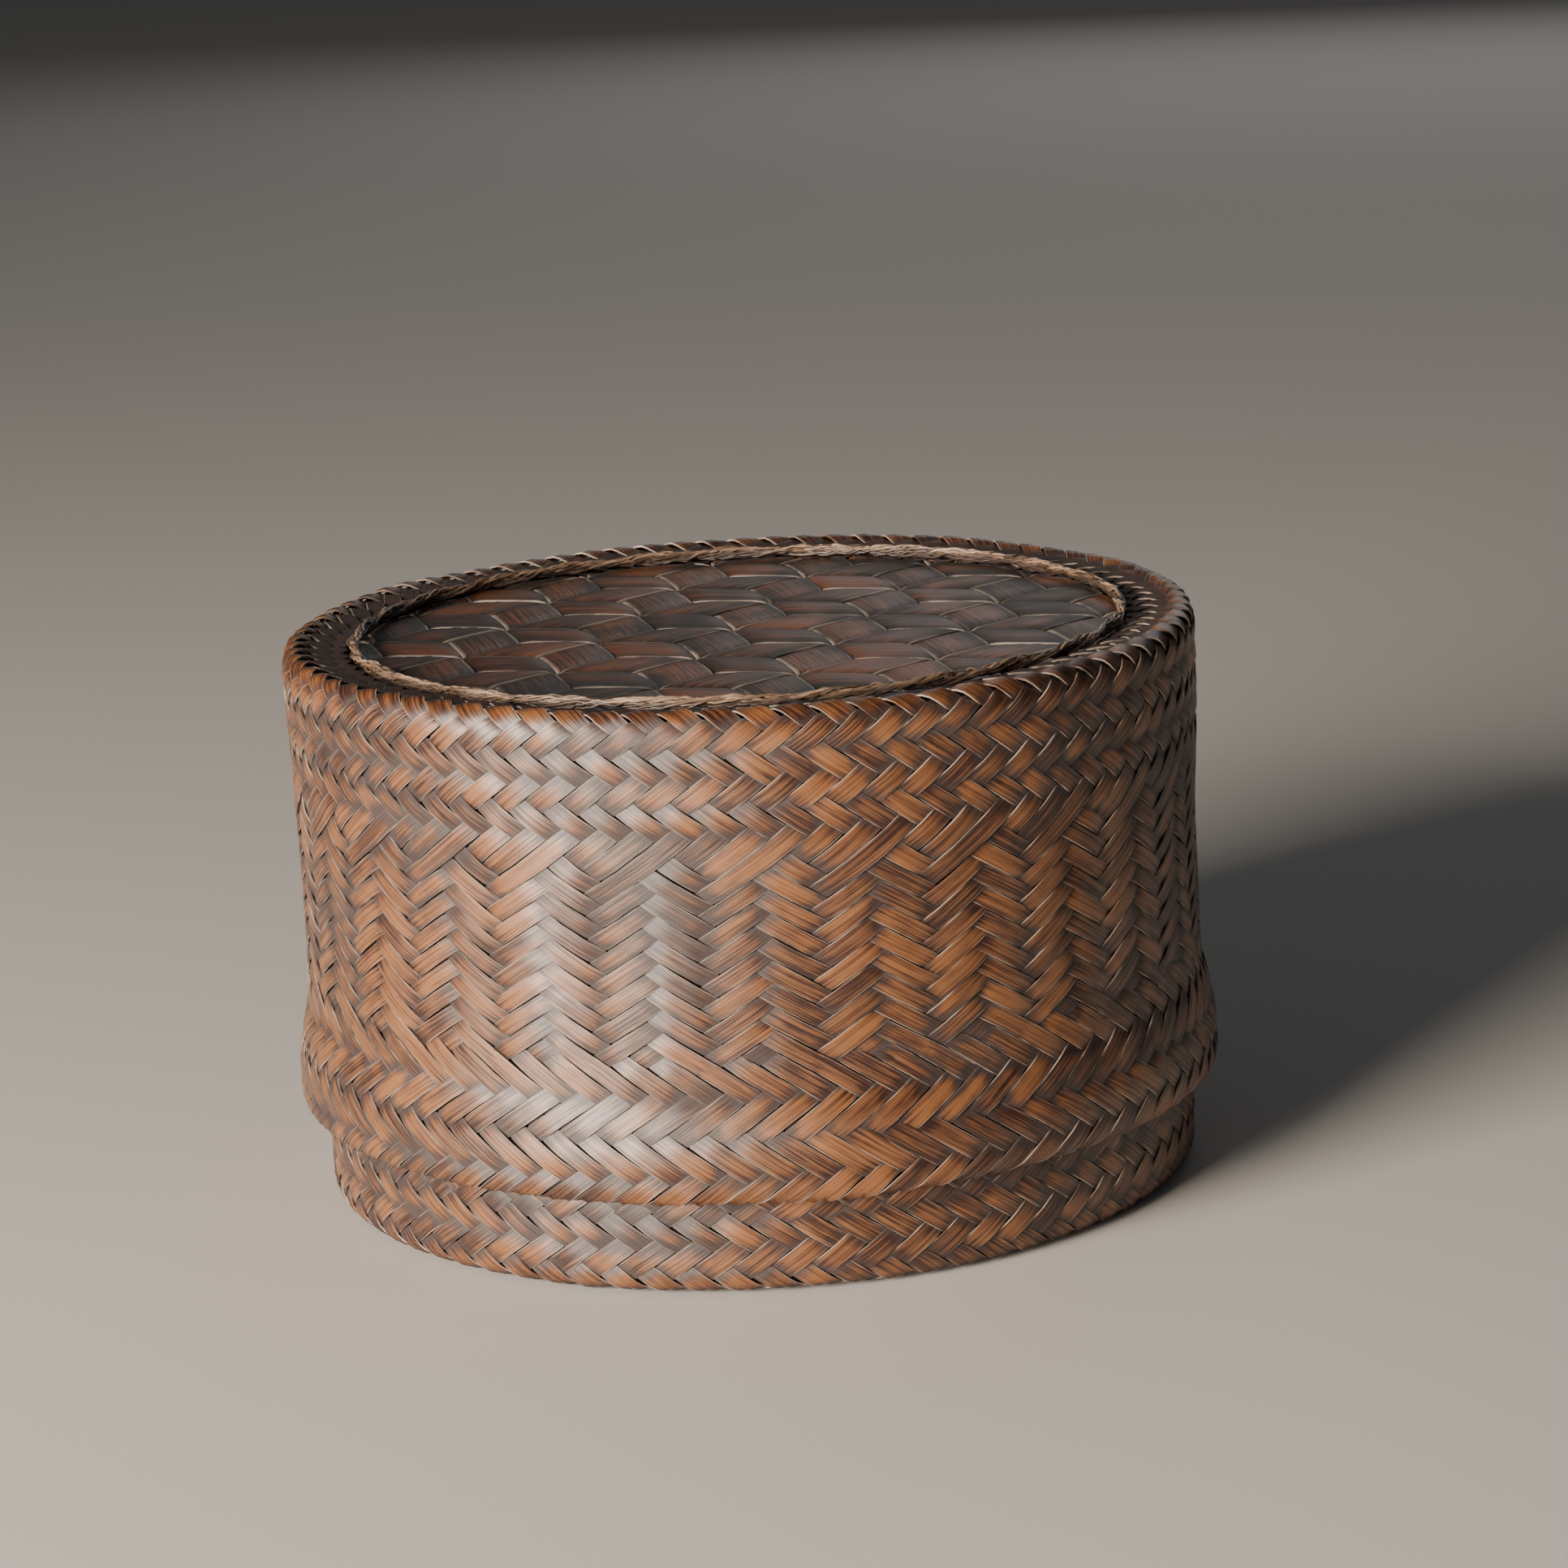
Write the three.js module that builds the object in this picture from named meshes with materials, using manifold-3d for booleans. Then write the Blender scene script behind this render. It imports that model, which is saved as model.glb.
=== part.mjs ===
// A round basket of woven bamboo in two halves: a tall lid that slides down over a base.
// Each half is a double wall (a woven tube folded back at its mouth over a bamboo hoop), a flat panel of wide
// strips woven in three directions, and a ring of two twined strands that binds the panel's edge to the wall.
// Millimetres, +Z up, the floor at z = 0, the basket closed and standing on its base.
import * as THREE from 'three';
import { mergeVertices } from 'three/addons/utils/BufferGeometryUtils.js';
import Module from 'manifold-3d';

const wasm = await Module();
wasm.setup();

// ---- Driving dimensions -------------------------------------------------------------------------------------

const LID_RADIUS = 100;          // outside of the lid just under its shoulder
const HEIGHT = 122.8;            // floor to the lid's shoulder, with the lid on
const BAND_HEIGHT = 21;          // base left showing under the lid's rim
const LAYER = 1.2;               // one woven layer: two splints lying over each other
const WAIST = 1.03;              // how far the lid draws in halfway up
const LID_CORNER = 4;            // radius of the lid's shoulder
const BASE_CORNER = 3;           // radius of the base's bottom edge
const HOOP_THICKNESS = 2;        // mouth hoops, radially
const HOOP_HEIGHT = 5;           // mouth hoops, upright
const SWELL_HEIGHT = 18;         // height over which the wall closes in again beyond a mouth hoop
const BAND_SWELL = 1.3;          // how far the band stands out beyond the rest of the base
const BAND_TUCK = 1;             // how far below the lid's rim the band starts to draw in
const BAND_TAPER = 5;            // height over which the band draws in under the lid
const SHOULDER_WIDTH = 16;       // lid's outside to the middle of the binding ring
const STRIP_PITCH = 15.2;        // panel strips, middle to middle
const STRIP_SPACE = 1.6;         // between neighbouring panel strips
const STRIP_THICKNESS = 0.5;
const STRIP_SLOPE = 0.45;        // how steeply a strip changes level, as a share of the space between strips
const STRIP_LEAST = 1;           // a strip is laid where at least this much of its width is inside the edge
const PANEL_TURN = 44;           // direction of the first set of strips, in degrees from +X
const PANEL_SHIFT = [-1, 2];     // where three strip edges meet, from the panel's middle
const STRAND_THICKNESS = 1.3;    // one strand of a binding ring
const STRAND_TWISTS = 12;        // turns of the two strands about each other, once round the panel

const GAP = 0.3;                 // between pieces that touch
const SLIDE_GAP = 0.85;          // between the base and the narrowest part of the lid
const SPARE = 0.05;              // added to a gap where pieces bend or twist past each other

const ROUND_STEPS = 40;          // sides of everything that goes round the basket
const WALL_STEPS = 6;            // steps up a wall
const BEND_STEPS = 4;            // steps through a short bend in a wall
const BEND_MARGIN = 1;           // straight wall kept on either side of a bend
const LEAST_BEND = 0.5;          // smallest radius inside a corner
const SAME_POINT = 1e-4;         // corners closer than this are one corner

// ---- Worked out from them -----------------------------------------------------------------------------------

const TWO_LAYERS = 2 * LAYER + GAP;                              // a double wall
const lidRimZ = BAND_HEIGHT;
const lidFlare = HOOP_THICKNESS + GAP;                           // outer layer pushed out by the hoop
const baseRadius = LID_RADIUS - WAIST - TWO_LAYERS - SLIDE_GAP;  // outside of the base under the lid
const bandRadius = baseRadius + BAND_SWELL;
const baseRimZ = HEIGHT - TWO_LAYERS - GAP;                      // the lid rests on the base's rim
const ringRadius = LID_RADIUS - SHOULDER_WIDTH;
const strandOffset = STRAND_THICKNESS / 2 + GAP / 2 + SPARE;     // from a ring's middle to each strand's
const ringHalf = strandOffset + STRAND_THICKNESS / 2;
const shoulderInner = ringRadius + ringHalf + GAP;               // where the shoulder meets the ring
const panelRadius = ringRadius + GAP;
const stripStep = STRIP_THICKNESS + GAP + SPARE;                 // between the three levels of the weave
const panelHalf = stripStep + STRIP_THICKNESS / 2;
const lidRingZ = HEIGHT - LAYER / 2;
const lidPanelZ = lidRingZ - ringHalf - GAP - panelHalf;
const baseRingZ = ringHalf + GAP;
const basePanelZ = baseRingZ + ringHalf + GAP + panelHalf;

// ---- Materials ----------------------------------------------------------------------------------------------

const splintBrown = new THREE.MeshStandardMaterial({ color: '#7d4c2f', roughness: 0.5, metalness: 0 });
const innerBrown = new THREE.MeshStandardMaterial({ color: '#8f6542', roughness: 0.6, metalness: 0 });
const panelBrown = new THREE.MeshStandardMaterial({ color: '#57463c', roughness: 0.55, metalness: 0 });
const hoopTan = new THREE.MeshStandardMaterial({ color: '#a3794f', roughness: 0.6, metalness: 0 });
const strandTan = new THREE.MeshStandardMaterial({ color: '#93765a', roughness: 0.75, metalness: 0 });

// ---- Small tools --------------------------------------------------------------------------------------------

const smooth = (t) => {
  const u = Math.min(Math.max(t, 0), 1);
  return u * u * (3 - 2 * u);
};

// Points [r, z] on an ellipse's arc, from one angle to another in degrees.
function arc(r, z, radiusR, radiusZ, from, to, steps = 3) {
  return Array.from({ length: steps + 1 }, (_, i) => {
    const angle = THREE.MathUtils.degToRad(from + ((to - from) * i) / steps);
    return [r + radiusR * Math.cos(angle), z + radiusZ * Math.sin(angle)];
  });
}

// Points [radius(z), z] evenly spaced between two heights, both ends left out.
function side(radius, from, to, steps = WALL_STEPS) {
  return Array.from({ length: steps - 1 }, (_, i) => {
    const z = from + ((to - from) * (i + 1)) / steps;
    return [radius(z), z];
  });
}

// A ring turned from a closed profile of [r, z] points that runs anticlockwise.
function turned(name, profile, material) {
  const points = [...profile, profile[0]].map(([r, z]) => new THREE.Vector2(r, z));
  const geometry = new THREE.LatheGeometry(points, ROUND_STEPS);
  geometry.rotateX(Math.PI / 2);
  return piece(name, geometry, material);
}

// A named mesh whose faces share their corners.
function piece(name, geometry, material) {
  geometry.deleteAttribute('normal');
  geometry.deleteAttribute('uv');
  const merged = mergeVertices(geometry, SAME_POINT);
  merged.computeVertexNormals();
  const mesh = new THREE.Mesh(merged, material);
  mesh.name = name;
  return mesh;
}

// A closed solid through a row of four-cornered sections; with loop it runs on into its own start.
function swept(sections, loop = false) {
  const positions = sections.flat(2);
  const index = [];
  const count = sections.length;
  for (let i = 0; i < (loop ? count : count - 1); i += 1) {
    const here = 4 * i;
    const next = 4 * ((i + 1) % count);
    for (let k = 0; k < 4; k += 1) {
      const j = (k + 1) % 4;
      index.push(here + k, next + j, next + k, here + k, here + j, next + j);
    }
  }
  if (!loop) {
    const last = 4 * (count - 1);
    index.push(0, 2, 1, 0, 3, 2, last, last + 1, last + 2, last, last + 2, last + 3);
  }
  const geometry = new THREE.BufferGeometry();
  geometry.setAttribute('position', new THREE.Float32BufferAttribute(positions, 3));
  geometry.setIndex(index);
  return geometry;
}

function toManifold(geometry) {
  return new wasm.Manifold(new wasm.Mesh({
    numProp: 3,
    vertProperties: new Float32Array(geometry.attributes.position.array),
    triVerts: new Uint32Array(geometry.index.array),
  }));
}

function fromManifold(solid) {
  const mesh = solid.getMesh();
  const geometry = new THREE.BufferGeometry();
  geometry.setAttribute('position', new THREE.Float32BufferAttribute(mesh.vertProperties, mesh.numProp));
  geometry.setIndex(Array.from(mesh.triVerts));
  return geometry;
}

// ---- Walls --------------------------------------------------------------------------------------------------

// The lid's waist: 0 at the rim and the shoulder, full halfway up.
const waist = (z) => WAIST * Math.sin((Math.PI * (z - lidRimZ)) / (HEIGHT - lidRimZ)) ** 2;

// Outside of the lid's outer layer: pushed out over the mouth hoop, then drawn in to the waist.
const lidHoopZ = lidRimZ + LAYER + HOOP_THICKNESS;
const hoopTopZ = lidHoopZ + HOOP_HEIGHT + GAP;
const swellTopZ = hoopTopZ + SWELL_HEIGHT;
const lidOuterRadius = (z) => LID_RADIUS - waist(z) + lidFlare * (1 - smooth((z - hoopTopZ) / SWELL_HEIGHT));
const lidInnerRadius = (z) => LID_RADIUS - LAYER - GAP - waist(z);

function lidOuterWall() {
  const lip = HOOP_THICKNESS + LAYER;
  const lipR = LID_RADIUS + lidFlare - lip;
  const shoulderZ = HEIGHT - LID_CORNER;
  const inside = (z) => lidOuterRadius(z) - LAYER;
  const profile = [
    [LID_RADIUS - LAYER, lidRimZ],
    ...arc(lipR, lidHoopZ, lip, lip, -90, 0),
    [lidOuterRadius(hoopTopZ), hoopTopZ],
    ...side(lidOuterRadius, hoopTopZ, swellTopZ, BEND_STEPS),
    [lidOuterRadius(swellTopZ), swellTopZ],
    ...side(lidOuterRadius, swellTopZ, shoulderZ, BEND_STEPS),
    ...arc(LID_RADIUS - LID_CORNER, shoulderZ, LID_CORNER, LID_CORNER, 0, 90),
    [shoulderInner, HEIGHT],
    [shoulderInner, HEIGHT - LAYER],
    ...arc(LID_RADIUS - LID_CORNER, shoulderZ, LID_CORNER - LAYER, LID_CORNER - LAYER, 90, 0, 2),
    ...side(inside, shoulderZ, swellTopZ, BEND_STEPS),
    [inside(swellTopZ), swellTopZ],
    ...side(inside, swellTopZ, hoopTopZ, BEND_STEPS),
    [inside(hoopTopZ), hoopTopZ],
    ...arc(lipR, lidHoopZ, HOOP_THICKNESS, HOOP_THICKNESS, 0, -90, 2),
    [LID_RADIUS - LAYER, lidRimZ + LAYER],
  ];
  return turned('lid_outer_wall', profile, splintBrown);
}

function lidInnerWall() {
  const corner = LID_CORNER - LAYER - GAP;
  const top = HEIGHT - LAYER - GAP;
  const cornerZ = top - corner;
  const cornerR = lidInnerRadius(cornerZ) - corner;
  const inside = Math.max(corner - LAYER, LEAST_BEND);
  const profile = [
    [lidInnerRadius(lidRimZ) - LAYER, lidRimZ],
    [lidInnerRadius(lidRimZ), lidRimZ],
    ...side(lidInnerRadius, lidRimZ, cornerZ),
    ...arc(cornerR, cornerZ, corner, corner, 0, 90, 2),
    [shoulderInner, top],
    [shoulderInner, top - LAYER],
    ...arc(cornerR + corner - LAYER - inside, top - LAYER - inside, inside, inside, 90, 0, 1),
    ...side((z) => lidInnerRadius(z) - LAYER, top - LAYER - inside, lidRimZ),
  ];
  return turned('lid_inner_wall', profile, innerBrown);
}

// Outside of the base's outer layer: the band, drawn in where the lid slides over it.
const bandTopZ = BAND_HEIGHT - BAND_TUCK;
const bendLowZ = bandTopZ - BEND_MARGIN;
const bendHighZ = bandTopZ + BAND_TAPER + BEND_MARGIN;
const baseOuterRadius = (z) => baseRadius + BAND_SWELL * (1 - smooth((z - bandTopZ) / BAND_TAPER));

// Outside of the base's inner layer: against the outer one, but behind the hoop at the mouth.
const baseHoopZ = baseRimZ - HOOP_THICKNESS - GAP - HOOP_HEIGHT;
const baseHoopInner = baseRadius - LAYER - GAP - HOOP_THICKNESS;
function baseInnerRadius(z) {
  const step = HOOP_THICKNESS + GAP;
  const behindOuter = baseOuterRadius(z) - LAYER - GAP;
  return behindOuter - step * smooth((z - baseHoopZ + GAP + SWELL_HEIGHT) / SWELL_HEIGHT);
}

function baseOuterWall() {
  const lip = HOOP_THICKNESS + GAP;
  const lipZ = baseRimZ - lip;
  const profile = [
    [shoulderInner, 0],
    ...arc(bandRadius - BASE_CORNER, BASE_CORNER, BASE_CORNER, BASE_CORNER, -90, 0),
    ...side(baseOuterRadius, bendLowZ, bendHighZ, BEND_STEPS),
    [baseRadius, bendHighZ],
    ...arc(baseRadius - lip, lipZ, lip, lip, 0, 90),
    [baseHoopInner, baseRimZ],
    [baseHoopInner, baseRimZ - LAYER],
    ...arc(baseRadius - lip, lipZ, lip - LAYER, lip - LAYER, 90, 0, 2),
    [baseRadius - LAYER, bendHighZ],
    ...side((z) => baseOuterRadius(z) - LAYER, bendHighZ, bendLowZ, BEND_STEPS),
    ...arc(bandRadius - BASE_CORNER, BASE_CORNER, BASE_CORNER - LAYER, BASE_CORNER - LAYER, 0, -90),
    [shoulderInner, LAYER],
  ];
  return turned('base_outer_wall', profile, splintBrown);
}

function baseInnerWall() {
  const floor = LAYER + GAP;
  const corner = BASE_CORNER - floor;
  const cornerR = bandRadius - floor - corner;
  const foldZ = baseHoopZ - GAP;
  const inside = (z) => baseInnerRadius(z) - LAYER;
  const profile = [
    [shoulderInner, floor],
    ...arc(cornerR, floor + corner, corner, corner, -90, 0),
    ...side(baseInnerRadius, bendLowZ, bendHighZ, BEND_STEPS),
    [baseInnerRadius(bendHighZ), bendHighZ],
    ...side(baseInnerRadius, foldZ - SWELL_HEIGHT, foldZ, BEND_STEPS),
    [baseHoopInner - GAP, foldZ],
    [baseHoopInner - GAP, baseRimZ],
    [baseHoopInner - GAP - LAYER, baseRimZ],
    [baseHoopInner - GAP - LAYER, foldZ],
    ...side(inside, foldZ, foldZ - SWELL_HEIGHT, BEND_STEPS),
    [inside(bendHighZ), bendHighZ],
    ...side(inside, bendHighZ, bendLowZ, BEND_STEPS),
    ...arc(cornerR - LAYER / 2, floor + corner + LAYER / 2, corner - LAYER / 2, corner - LAYER / 2, 0, -90, 1),
    [shoulderInner, floor + LAYER],
  ];
  return turned('base_inner_wall', profile, innerBrown);
}

// A flat bamboo hoop.
function hoop(name, innerRadius, bottomZ) {
  const outerRadius = innerRadius + HOOP_THICKNESS;
  const topZ = bottomZ + HOOP_HEIGHT;
  const profile = [[innerRadius, bottomZ], [outerRadius, bottomZ], [outerRadius, topZ], [innerRadius, topZ]];
  return turned(name, profile, hoopTan);
}

// ---- Panel of strips woven in three directions ---------------------------------------------------------------

// The strips' edges lie on three sets of parallel lines, STRIP_PITCH apart, that make triangles. A place is
// counted in each set's lines: lines[d] is its distance from that set's first line, in pitches, and the three
// always add up to 0. In each triangle the three strips lie one on another, on levels 1, 0 and -1.
const setAngle = (d) => THREE.MathUtils.degToRad(PANEL_TURN + 120 * d);
const along = (d) => [Math.cos(setAngle(d)), Math.sin(setAngle(d))];
const across = (d) => [-Math.sin(setAngle(d)), Math.cos(setAngle(d))];
const dot = (a, b) => a[0] * b[0] + a[1] * b[1];
const linesAt = (x, y) => [0, 1, 2].map((d) => dot(across(d), [x, y]) / STRIP_PITCH);
const wrap = (value, size) => ((value % size) + size) % size;

// Which set lies on top at a place: two triangles on either side of the edge that joins two corners of the
// colours 1 and 2 make one visible diamond, and the set that covers it follows from that edge's direction.
function topSet(x, y) {
  const floors = linesAt(x, y).map(Math.floor);
  const up = floors[0] + floors[1] + floors[2] === -1;
  const corners = [0, 1, 2].map((d) => floors.map((f, i) => f + (up === (i === d) ? 1 : 0)));
  const opposite = corners.findIndex((corner) => wrap(corner[0] - corner[1], 3) === 0);
  return (opposite + 1) % 3;
}

// The level of set d where set `top` is uppermost: each set lies over the one before it in turn.
const level = (d, top) => [1, -1, 0][wrap(d - top, 3)];

// Where the line "set d, value a" meets the line "set e, value b".
function meet(d, a, e, b) {
  const [p, q] = [across(d), across(e)];
  const det = p[0] * q[1] - p[1] * q[0];
  const [u, v] = [a * STRIP_PITCH, b * STRIP_PITCH];
  return [(u * q[1] - v * p[1]) / det, (v * p[0] - u * q[0]) / det];
}

// One strip of set d, in the row between that set's lines k and k + 1, cut off round the panel's edge.
function strip(name, d, k, middleZ) {
  const edge = STRIP_SPACE / 2 / STRIP_PITCH;
  const ramp = STRIP_SLOPE * edge;
  const [low, high] = [k + edge, k + 1 - edge];
  const middle = across(d).map((v) => v * (k + 0.5) * STRIP_PITCH);
  const shiftAlong = dot(along(d), PANEL_SHIFT);
  const reach = panelRadius + STRIP_PITCH;
  const at = (s) => [middle[0] + along(d)[0] * s, middle[1] + along(d)[1] * s];

  // Every line of the other two sets that the strip crosses, in order along it.
  const crossings = [(d + 1) % 3, (d + 2) % 3].flatMap((e) => {
    const rate = dot(across(e), along(d)) / STRIP_PITCH;
    const start = linesAt(...middle)[e];
    const count = Math.ceil(reach * Math.abs(rate)) + 1;
    return Array.from({ length: 2 * count + 1 }, (_, i) => {
      const line = Math.round(start) + i - count;
      return { e, line, s: (line - start) / rate, sense: Math.sign(rate) };
    });
  }).filter((c) => Math.abs(c.s + shiftAlong) < reach).sort((a, b) => a.s - b.s);

  const section = (lowSide, highSide, z) => [
    [...lowSide, z - STRIP_THICKNESS / 2], [...highSide, z - STRIP_THICKNESS / 2],
    [...highSide, z + STRIP_THICKNESS / 2], [...lowSide, z + STRIP_THICKNESS / 2],
  ];
  const squareEnd = (s, z) => {
    const beside = (line) => at(s).map((v, i) => v + across(d)[i] * (line - k - 0.5) * STRIP_PITCH);
    return section(beside(low), beside(high), z);
  };
  const step = STRIP_PITCH / 4;                 // well inside the triangle on either side of a crossing
  const levelAt = (s) => level(d, topSet(...at(s))) * stripStep;
  const sections = [squareEnd(crossings[0].s - STRIP_PITCH, levelAt(crossings[0].s - step))];
  for (const { e, line, s, sense } of crossings) {
    const [before, after] = [levelAt(s - step), levelAt(s + step)];
    if (before !== after) {
      for (const [offset, z] of [[-ramp, before], [ramp, after]]) {
        const value = line + sense * offset;
        sections.push(section(meet(d, low, e, value), meet(d, high, e, value), z));
      }
    }
  }
  const last = crossings[crossings.length - 1].s;
  sections.push(squareEnd(last + STRIP_PITCH, levelAt(last + step)));

  const disc = wasm.Manifold.cylinder(4 * panelHalf, panelRadius, panelRadius, ROUND_STEPS, true);
  const long = toManifold(swept(sections)).translate([PANEL_SHIFT[0], PANEL_SHIFT[1], 0]);
  const cutOff = wasm.Manifold.intersection(long, disc).translate([0, 0, middleZ]);
  return piece(name, fromManifold(cutOff), panelBrown);
}

function lidPanel() {
  const group = new THREE.Group();
  for (let d = 0; d < 3; d += 1) {
    const shift = dot(across(d), PANEL_SHIFT);
    const first = Math.ceil((-panelRadius - shift + STRIP_LEAST) / STRIP_PITCH - 1);
    const last = Math.floor((panelRadius - shift - STRIP_LEAST) / STRIP_PITCH);
    for (let k = first; k <= last; k += 1) {
      const number = String(k - first + 1).padStart(2, '0');
      group.add(strip(`lid_panel_strip_${'abc'[d]}${number}`, d, k, lidPanelZ));
    }
  }
  return group;
}

// The base's strips as one mat, as thick as the weave.
function basePanel() {
  const mat = new THREE.CylinderGeometry(panelRadius, panelRadius, 2 * panelHalf, ROUND_STEPS);
  mat.rotateX(Math.PI / 2);
  mat.translate(0, 0, basePanelZ);
  return piece('base_panel', mat, panelBrown);
}

// ---- Binding rings ------------------------------------------------------------------------------------------

// One of the two strands of a ring, which circle each other as they go round.
function strand(name, middleZ, half) {
  const steps = 4 * STRAND_TWISTS;
  const radius = STRAND_THICKNESS / 2;
  const sections = Array.from({ length: steps }, (_, i) => {
    const turn = (2 * Math.PI * i) / steps;
    const twist = STRAND_TWISTS * turn + half * Math.PI;
    const [r, z] = [ringRadius + strandOffset * Math.cos(twist), middleZ + strandOffset * Math.sin(twist)];
    return [0, 1, 2, 3].map((k) => {
      const angle = twist - (k * Math.PI) / 2;
      const rr = r + radius * Math.cos(angle);
      return [rr * Math.cos(turn), rr * Math.sin(turn), z + radius * Math.sin(angle)];
    });
  });
  return piece(name, swept(sections, true), strandTan);
}

// ---- The basket ---------------------------------------------------------------------------------------------

const base = new THREE.Group();
base.add(
  baseOuterWall(),
  baseInnerWall(),
  hoop('base_mouth_hoop', baseHoopInner, baseHoopZ),
  basePanel(),
  strand('base_binding_strand_1', baseRingZ, 0),
  strand('base_binding_strand_2', baseRingZ, 1),
);

const lid = new THREE.Group();
lid.add(
  lidOuterWall(),
  lidInnerWall(),
  hoop('lid_mouth_hoop', LID_RADIUS - LAYER, lidHoopZ),
  lidPanel(),
  strand('lid_binding_strand_1', lidRingZ, 0),
  strand('lid_binding_strand_2', lidRingZ, 1),
);

const basket = new THREE.Group();
basket.add(base, lid);
export default basket;
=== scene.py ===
# %% [markdown]
# # A lidded basket of woven bamboo
#
# The basket has two halves, a base and a tall lid that slides down over it. Each half is a tube of narrow
# splints, woven on the slant, turned over a hoop at its mouth and carried back up inside, so every wall is
# double. Its flat end is a panel of wide strips woven in three directions, and a twisted binding of rough
# strands holds the panel in the wall. This lesson makes each of them the way the weaver did: every splint
# and every strip is a body of its own that really passes over and under the others.

# %% Load the basket's frame
import math

import bpy
import numpy as np
from mathutils import Matrix, Vector


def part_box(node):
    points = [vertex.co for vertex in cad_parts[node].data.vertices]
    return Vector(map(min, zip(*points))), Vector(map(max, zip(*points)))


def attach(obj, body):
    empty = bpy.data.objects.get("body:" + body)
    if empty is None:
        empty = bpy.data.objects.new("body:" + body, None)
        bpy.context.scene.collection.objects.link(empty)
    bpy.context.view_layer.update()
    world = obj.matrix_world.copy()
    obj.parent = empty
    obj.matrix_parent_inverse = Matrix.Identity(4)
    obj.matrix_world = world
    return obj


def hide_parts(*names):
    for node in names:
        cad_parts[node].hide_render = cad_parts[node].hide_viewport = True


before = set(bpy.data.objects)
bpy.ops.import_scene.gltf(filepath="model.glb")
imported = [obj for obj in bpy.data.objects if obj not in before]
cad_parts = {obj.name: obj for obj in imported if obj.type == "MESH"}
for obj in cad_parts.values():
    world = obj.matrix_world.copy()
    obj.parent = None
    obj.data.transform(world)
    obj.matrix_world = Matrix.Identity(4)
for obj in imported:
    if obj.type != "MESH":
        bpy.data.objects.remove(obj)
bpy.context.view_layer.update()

# %% [markdown]
# ## The camera first
#
# A long lens from about a metre away, a little above the shoulder of the basket, so that the panel on top
# is seen at a flat angle. The camera is turned in four small steps, like a tripod head: tip it down, pan,
# tilt, and level it. Placing it first lets every later step be judged from the view that matters.

# %% Place the camera
MM = 0.001
CAMERA_DISTANCE = 997 * MM
CAMERA_ELEVATION = math.radians(14.6)
CAMERA_AIM_HEIGHT = 60 * MM
CAMERA_PAN, CAMERA_TILT, CAMERA_ROLL = (math.radians(a) for a in (-0.487, 1.39, 3.091))
FOCAL_LENGTH, SENSOR_WIDTH = 102.87, 36     # in millimetres, as lenses are named
NEAREST, FARTHEST = 0.05, 20                # what the camera sees lies between these, in metres


def linked(name, data):
    """A new object that holds the data, put into the scene."""
    made = bpy.data.objects.new(name, data)
    bpy.context.collection.objects.link(made)
    return made


lens = bpy.data.cameras.new("camera")
lens.lens, lens.sensor_width = FOCAL_LENGTH, SENSOR_WIDTH
lens.clip_start, lens.clip_end = NEAREST, FARTHEST
camera = linked("camera", lens)
head = Matrix.Rotation(math.radians(90) - CAMERA_ELEVATION, 4, "X")
head = head @ Matrix.Rotation(CAMERA_PAN, 4, "Y") @ Matrix.Rotation(CAMERA_TILT, 4, "X")
head = head @ Matrix.Rotation(-CAMERA_ROLL, 4, "Z")
place = Vector((0, -math.cos(CAMERA_ELEVATION), math.sin(CAMERA_ELEVATION))) * CAMERA_DISTANCE
camera.matrix_world = Matrix.Translation(place + Vector((0, 0, CAMERA_AIM_HEIGHT))) @ head
bpy.context.scene.camera = camera
print("camera at", [round(v, 3) for v in camera.location])

# %% [markdown]
# ## Two helpers
#
# Node trees are built in Python here, for shapes and for finishes alike. One function adds a node: it sets
# the node's own settings and links or fills its inputs, by place or by name. Colours are written as the hex
# values that a painter would read off a chart, so one function turns them into the linear values that the
# renderer works in.

# %% A helper that adds a node, and one that reads a colour
def usable(sockets):
    return [s for s in sockets if s.enabled]


def add(tree, kind, inputs=(), **settings):
    node = tree.nodes.new(kind)
    for name, value in settings.items():
        setattr(node, name, value)
    pairs = inputs.items() if isinstance(inputs, dict) else enumerate(inputs)
    for key, value in pairs:
        if isinstance(key, int):
            socket = usable(node.inputs)[key]
        else:
            socket = next(s for s in usable(node.inputs) if s.name == key)
        if isinstance(value, bpy.types.Node):
            value = usable(value.outputs)[0]
        if isinstance(value, bpy.types.NodeSocket):
            tree.links.new(value, socket)
        else:
            socket.default_value = value
    return node


def colour(hex_code):
    """An sRGB hex colour as linear red, green, blue and alpha."""
    parts = [int(hex_code[i:i + 2], 16) / 255 for i in (1, 3, 5)]
    linear = [c / 12.92 if c <= 0.04045 else ((c + 0.055) / 1.055) ** 2.4 for c in parts]
    return (*linear, 1.0)


# Five kinds of node come up so often that they get short names. The inputs of MATH are its terms. Those of
# RANGE are a value, the two ends it moves between, and the two ends it is turned into. Those of MIX are a
# share, and what it gives at 0 and at 1.
MATH, RANGE, MIX = "ShaderNodeMath", "ShaderNodeMapRange", "ShaderNodeMix"
STORE, READ = "GeometryNodeStoreNamedAttribute", "GeometryNodeInputNamedAttribute"
print("half grey in linear light:", round(colour("#808080")[0], 3))

# %% [markdown]
# ## Sizes, read from the frame
#
# The frame gives the outside of every wall. A splint is about half a millimetre thick, and its middle line
# swings in and out by a little more than that as it passes over and under the others, so the middle of a
# woven layer lies a little less than a millimetre inside the wall's outside face.

# %% Read the sizes
SPLINT_THICKNESS = 0.5 * MM
SPLINT_SWING = 0.56 * MM        # how far a splint's middle line rises and sinks
LAYER_DEPTH = 0.85 * MM         # from the outside face to the middle of the woven layer

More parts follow.
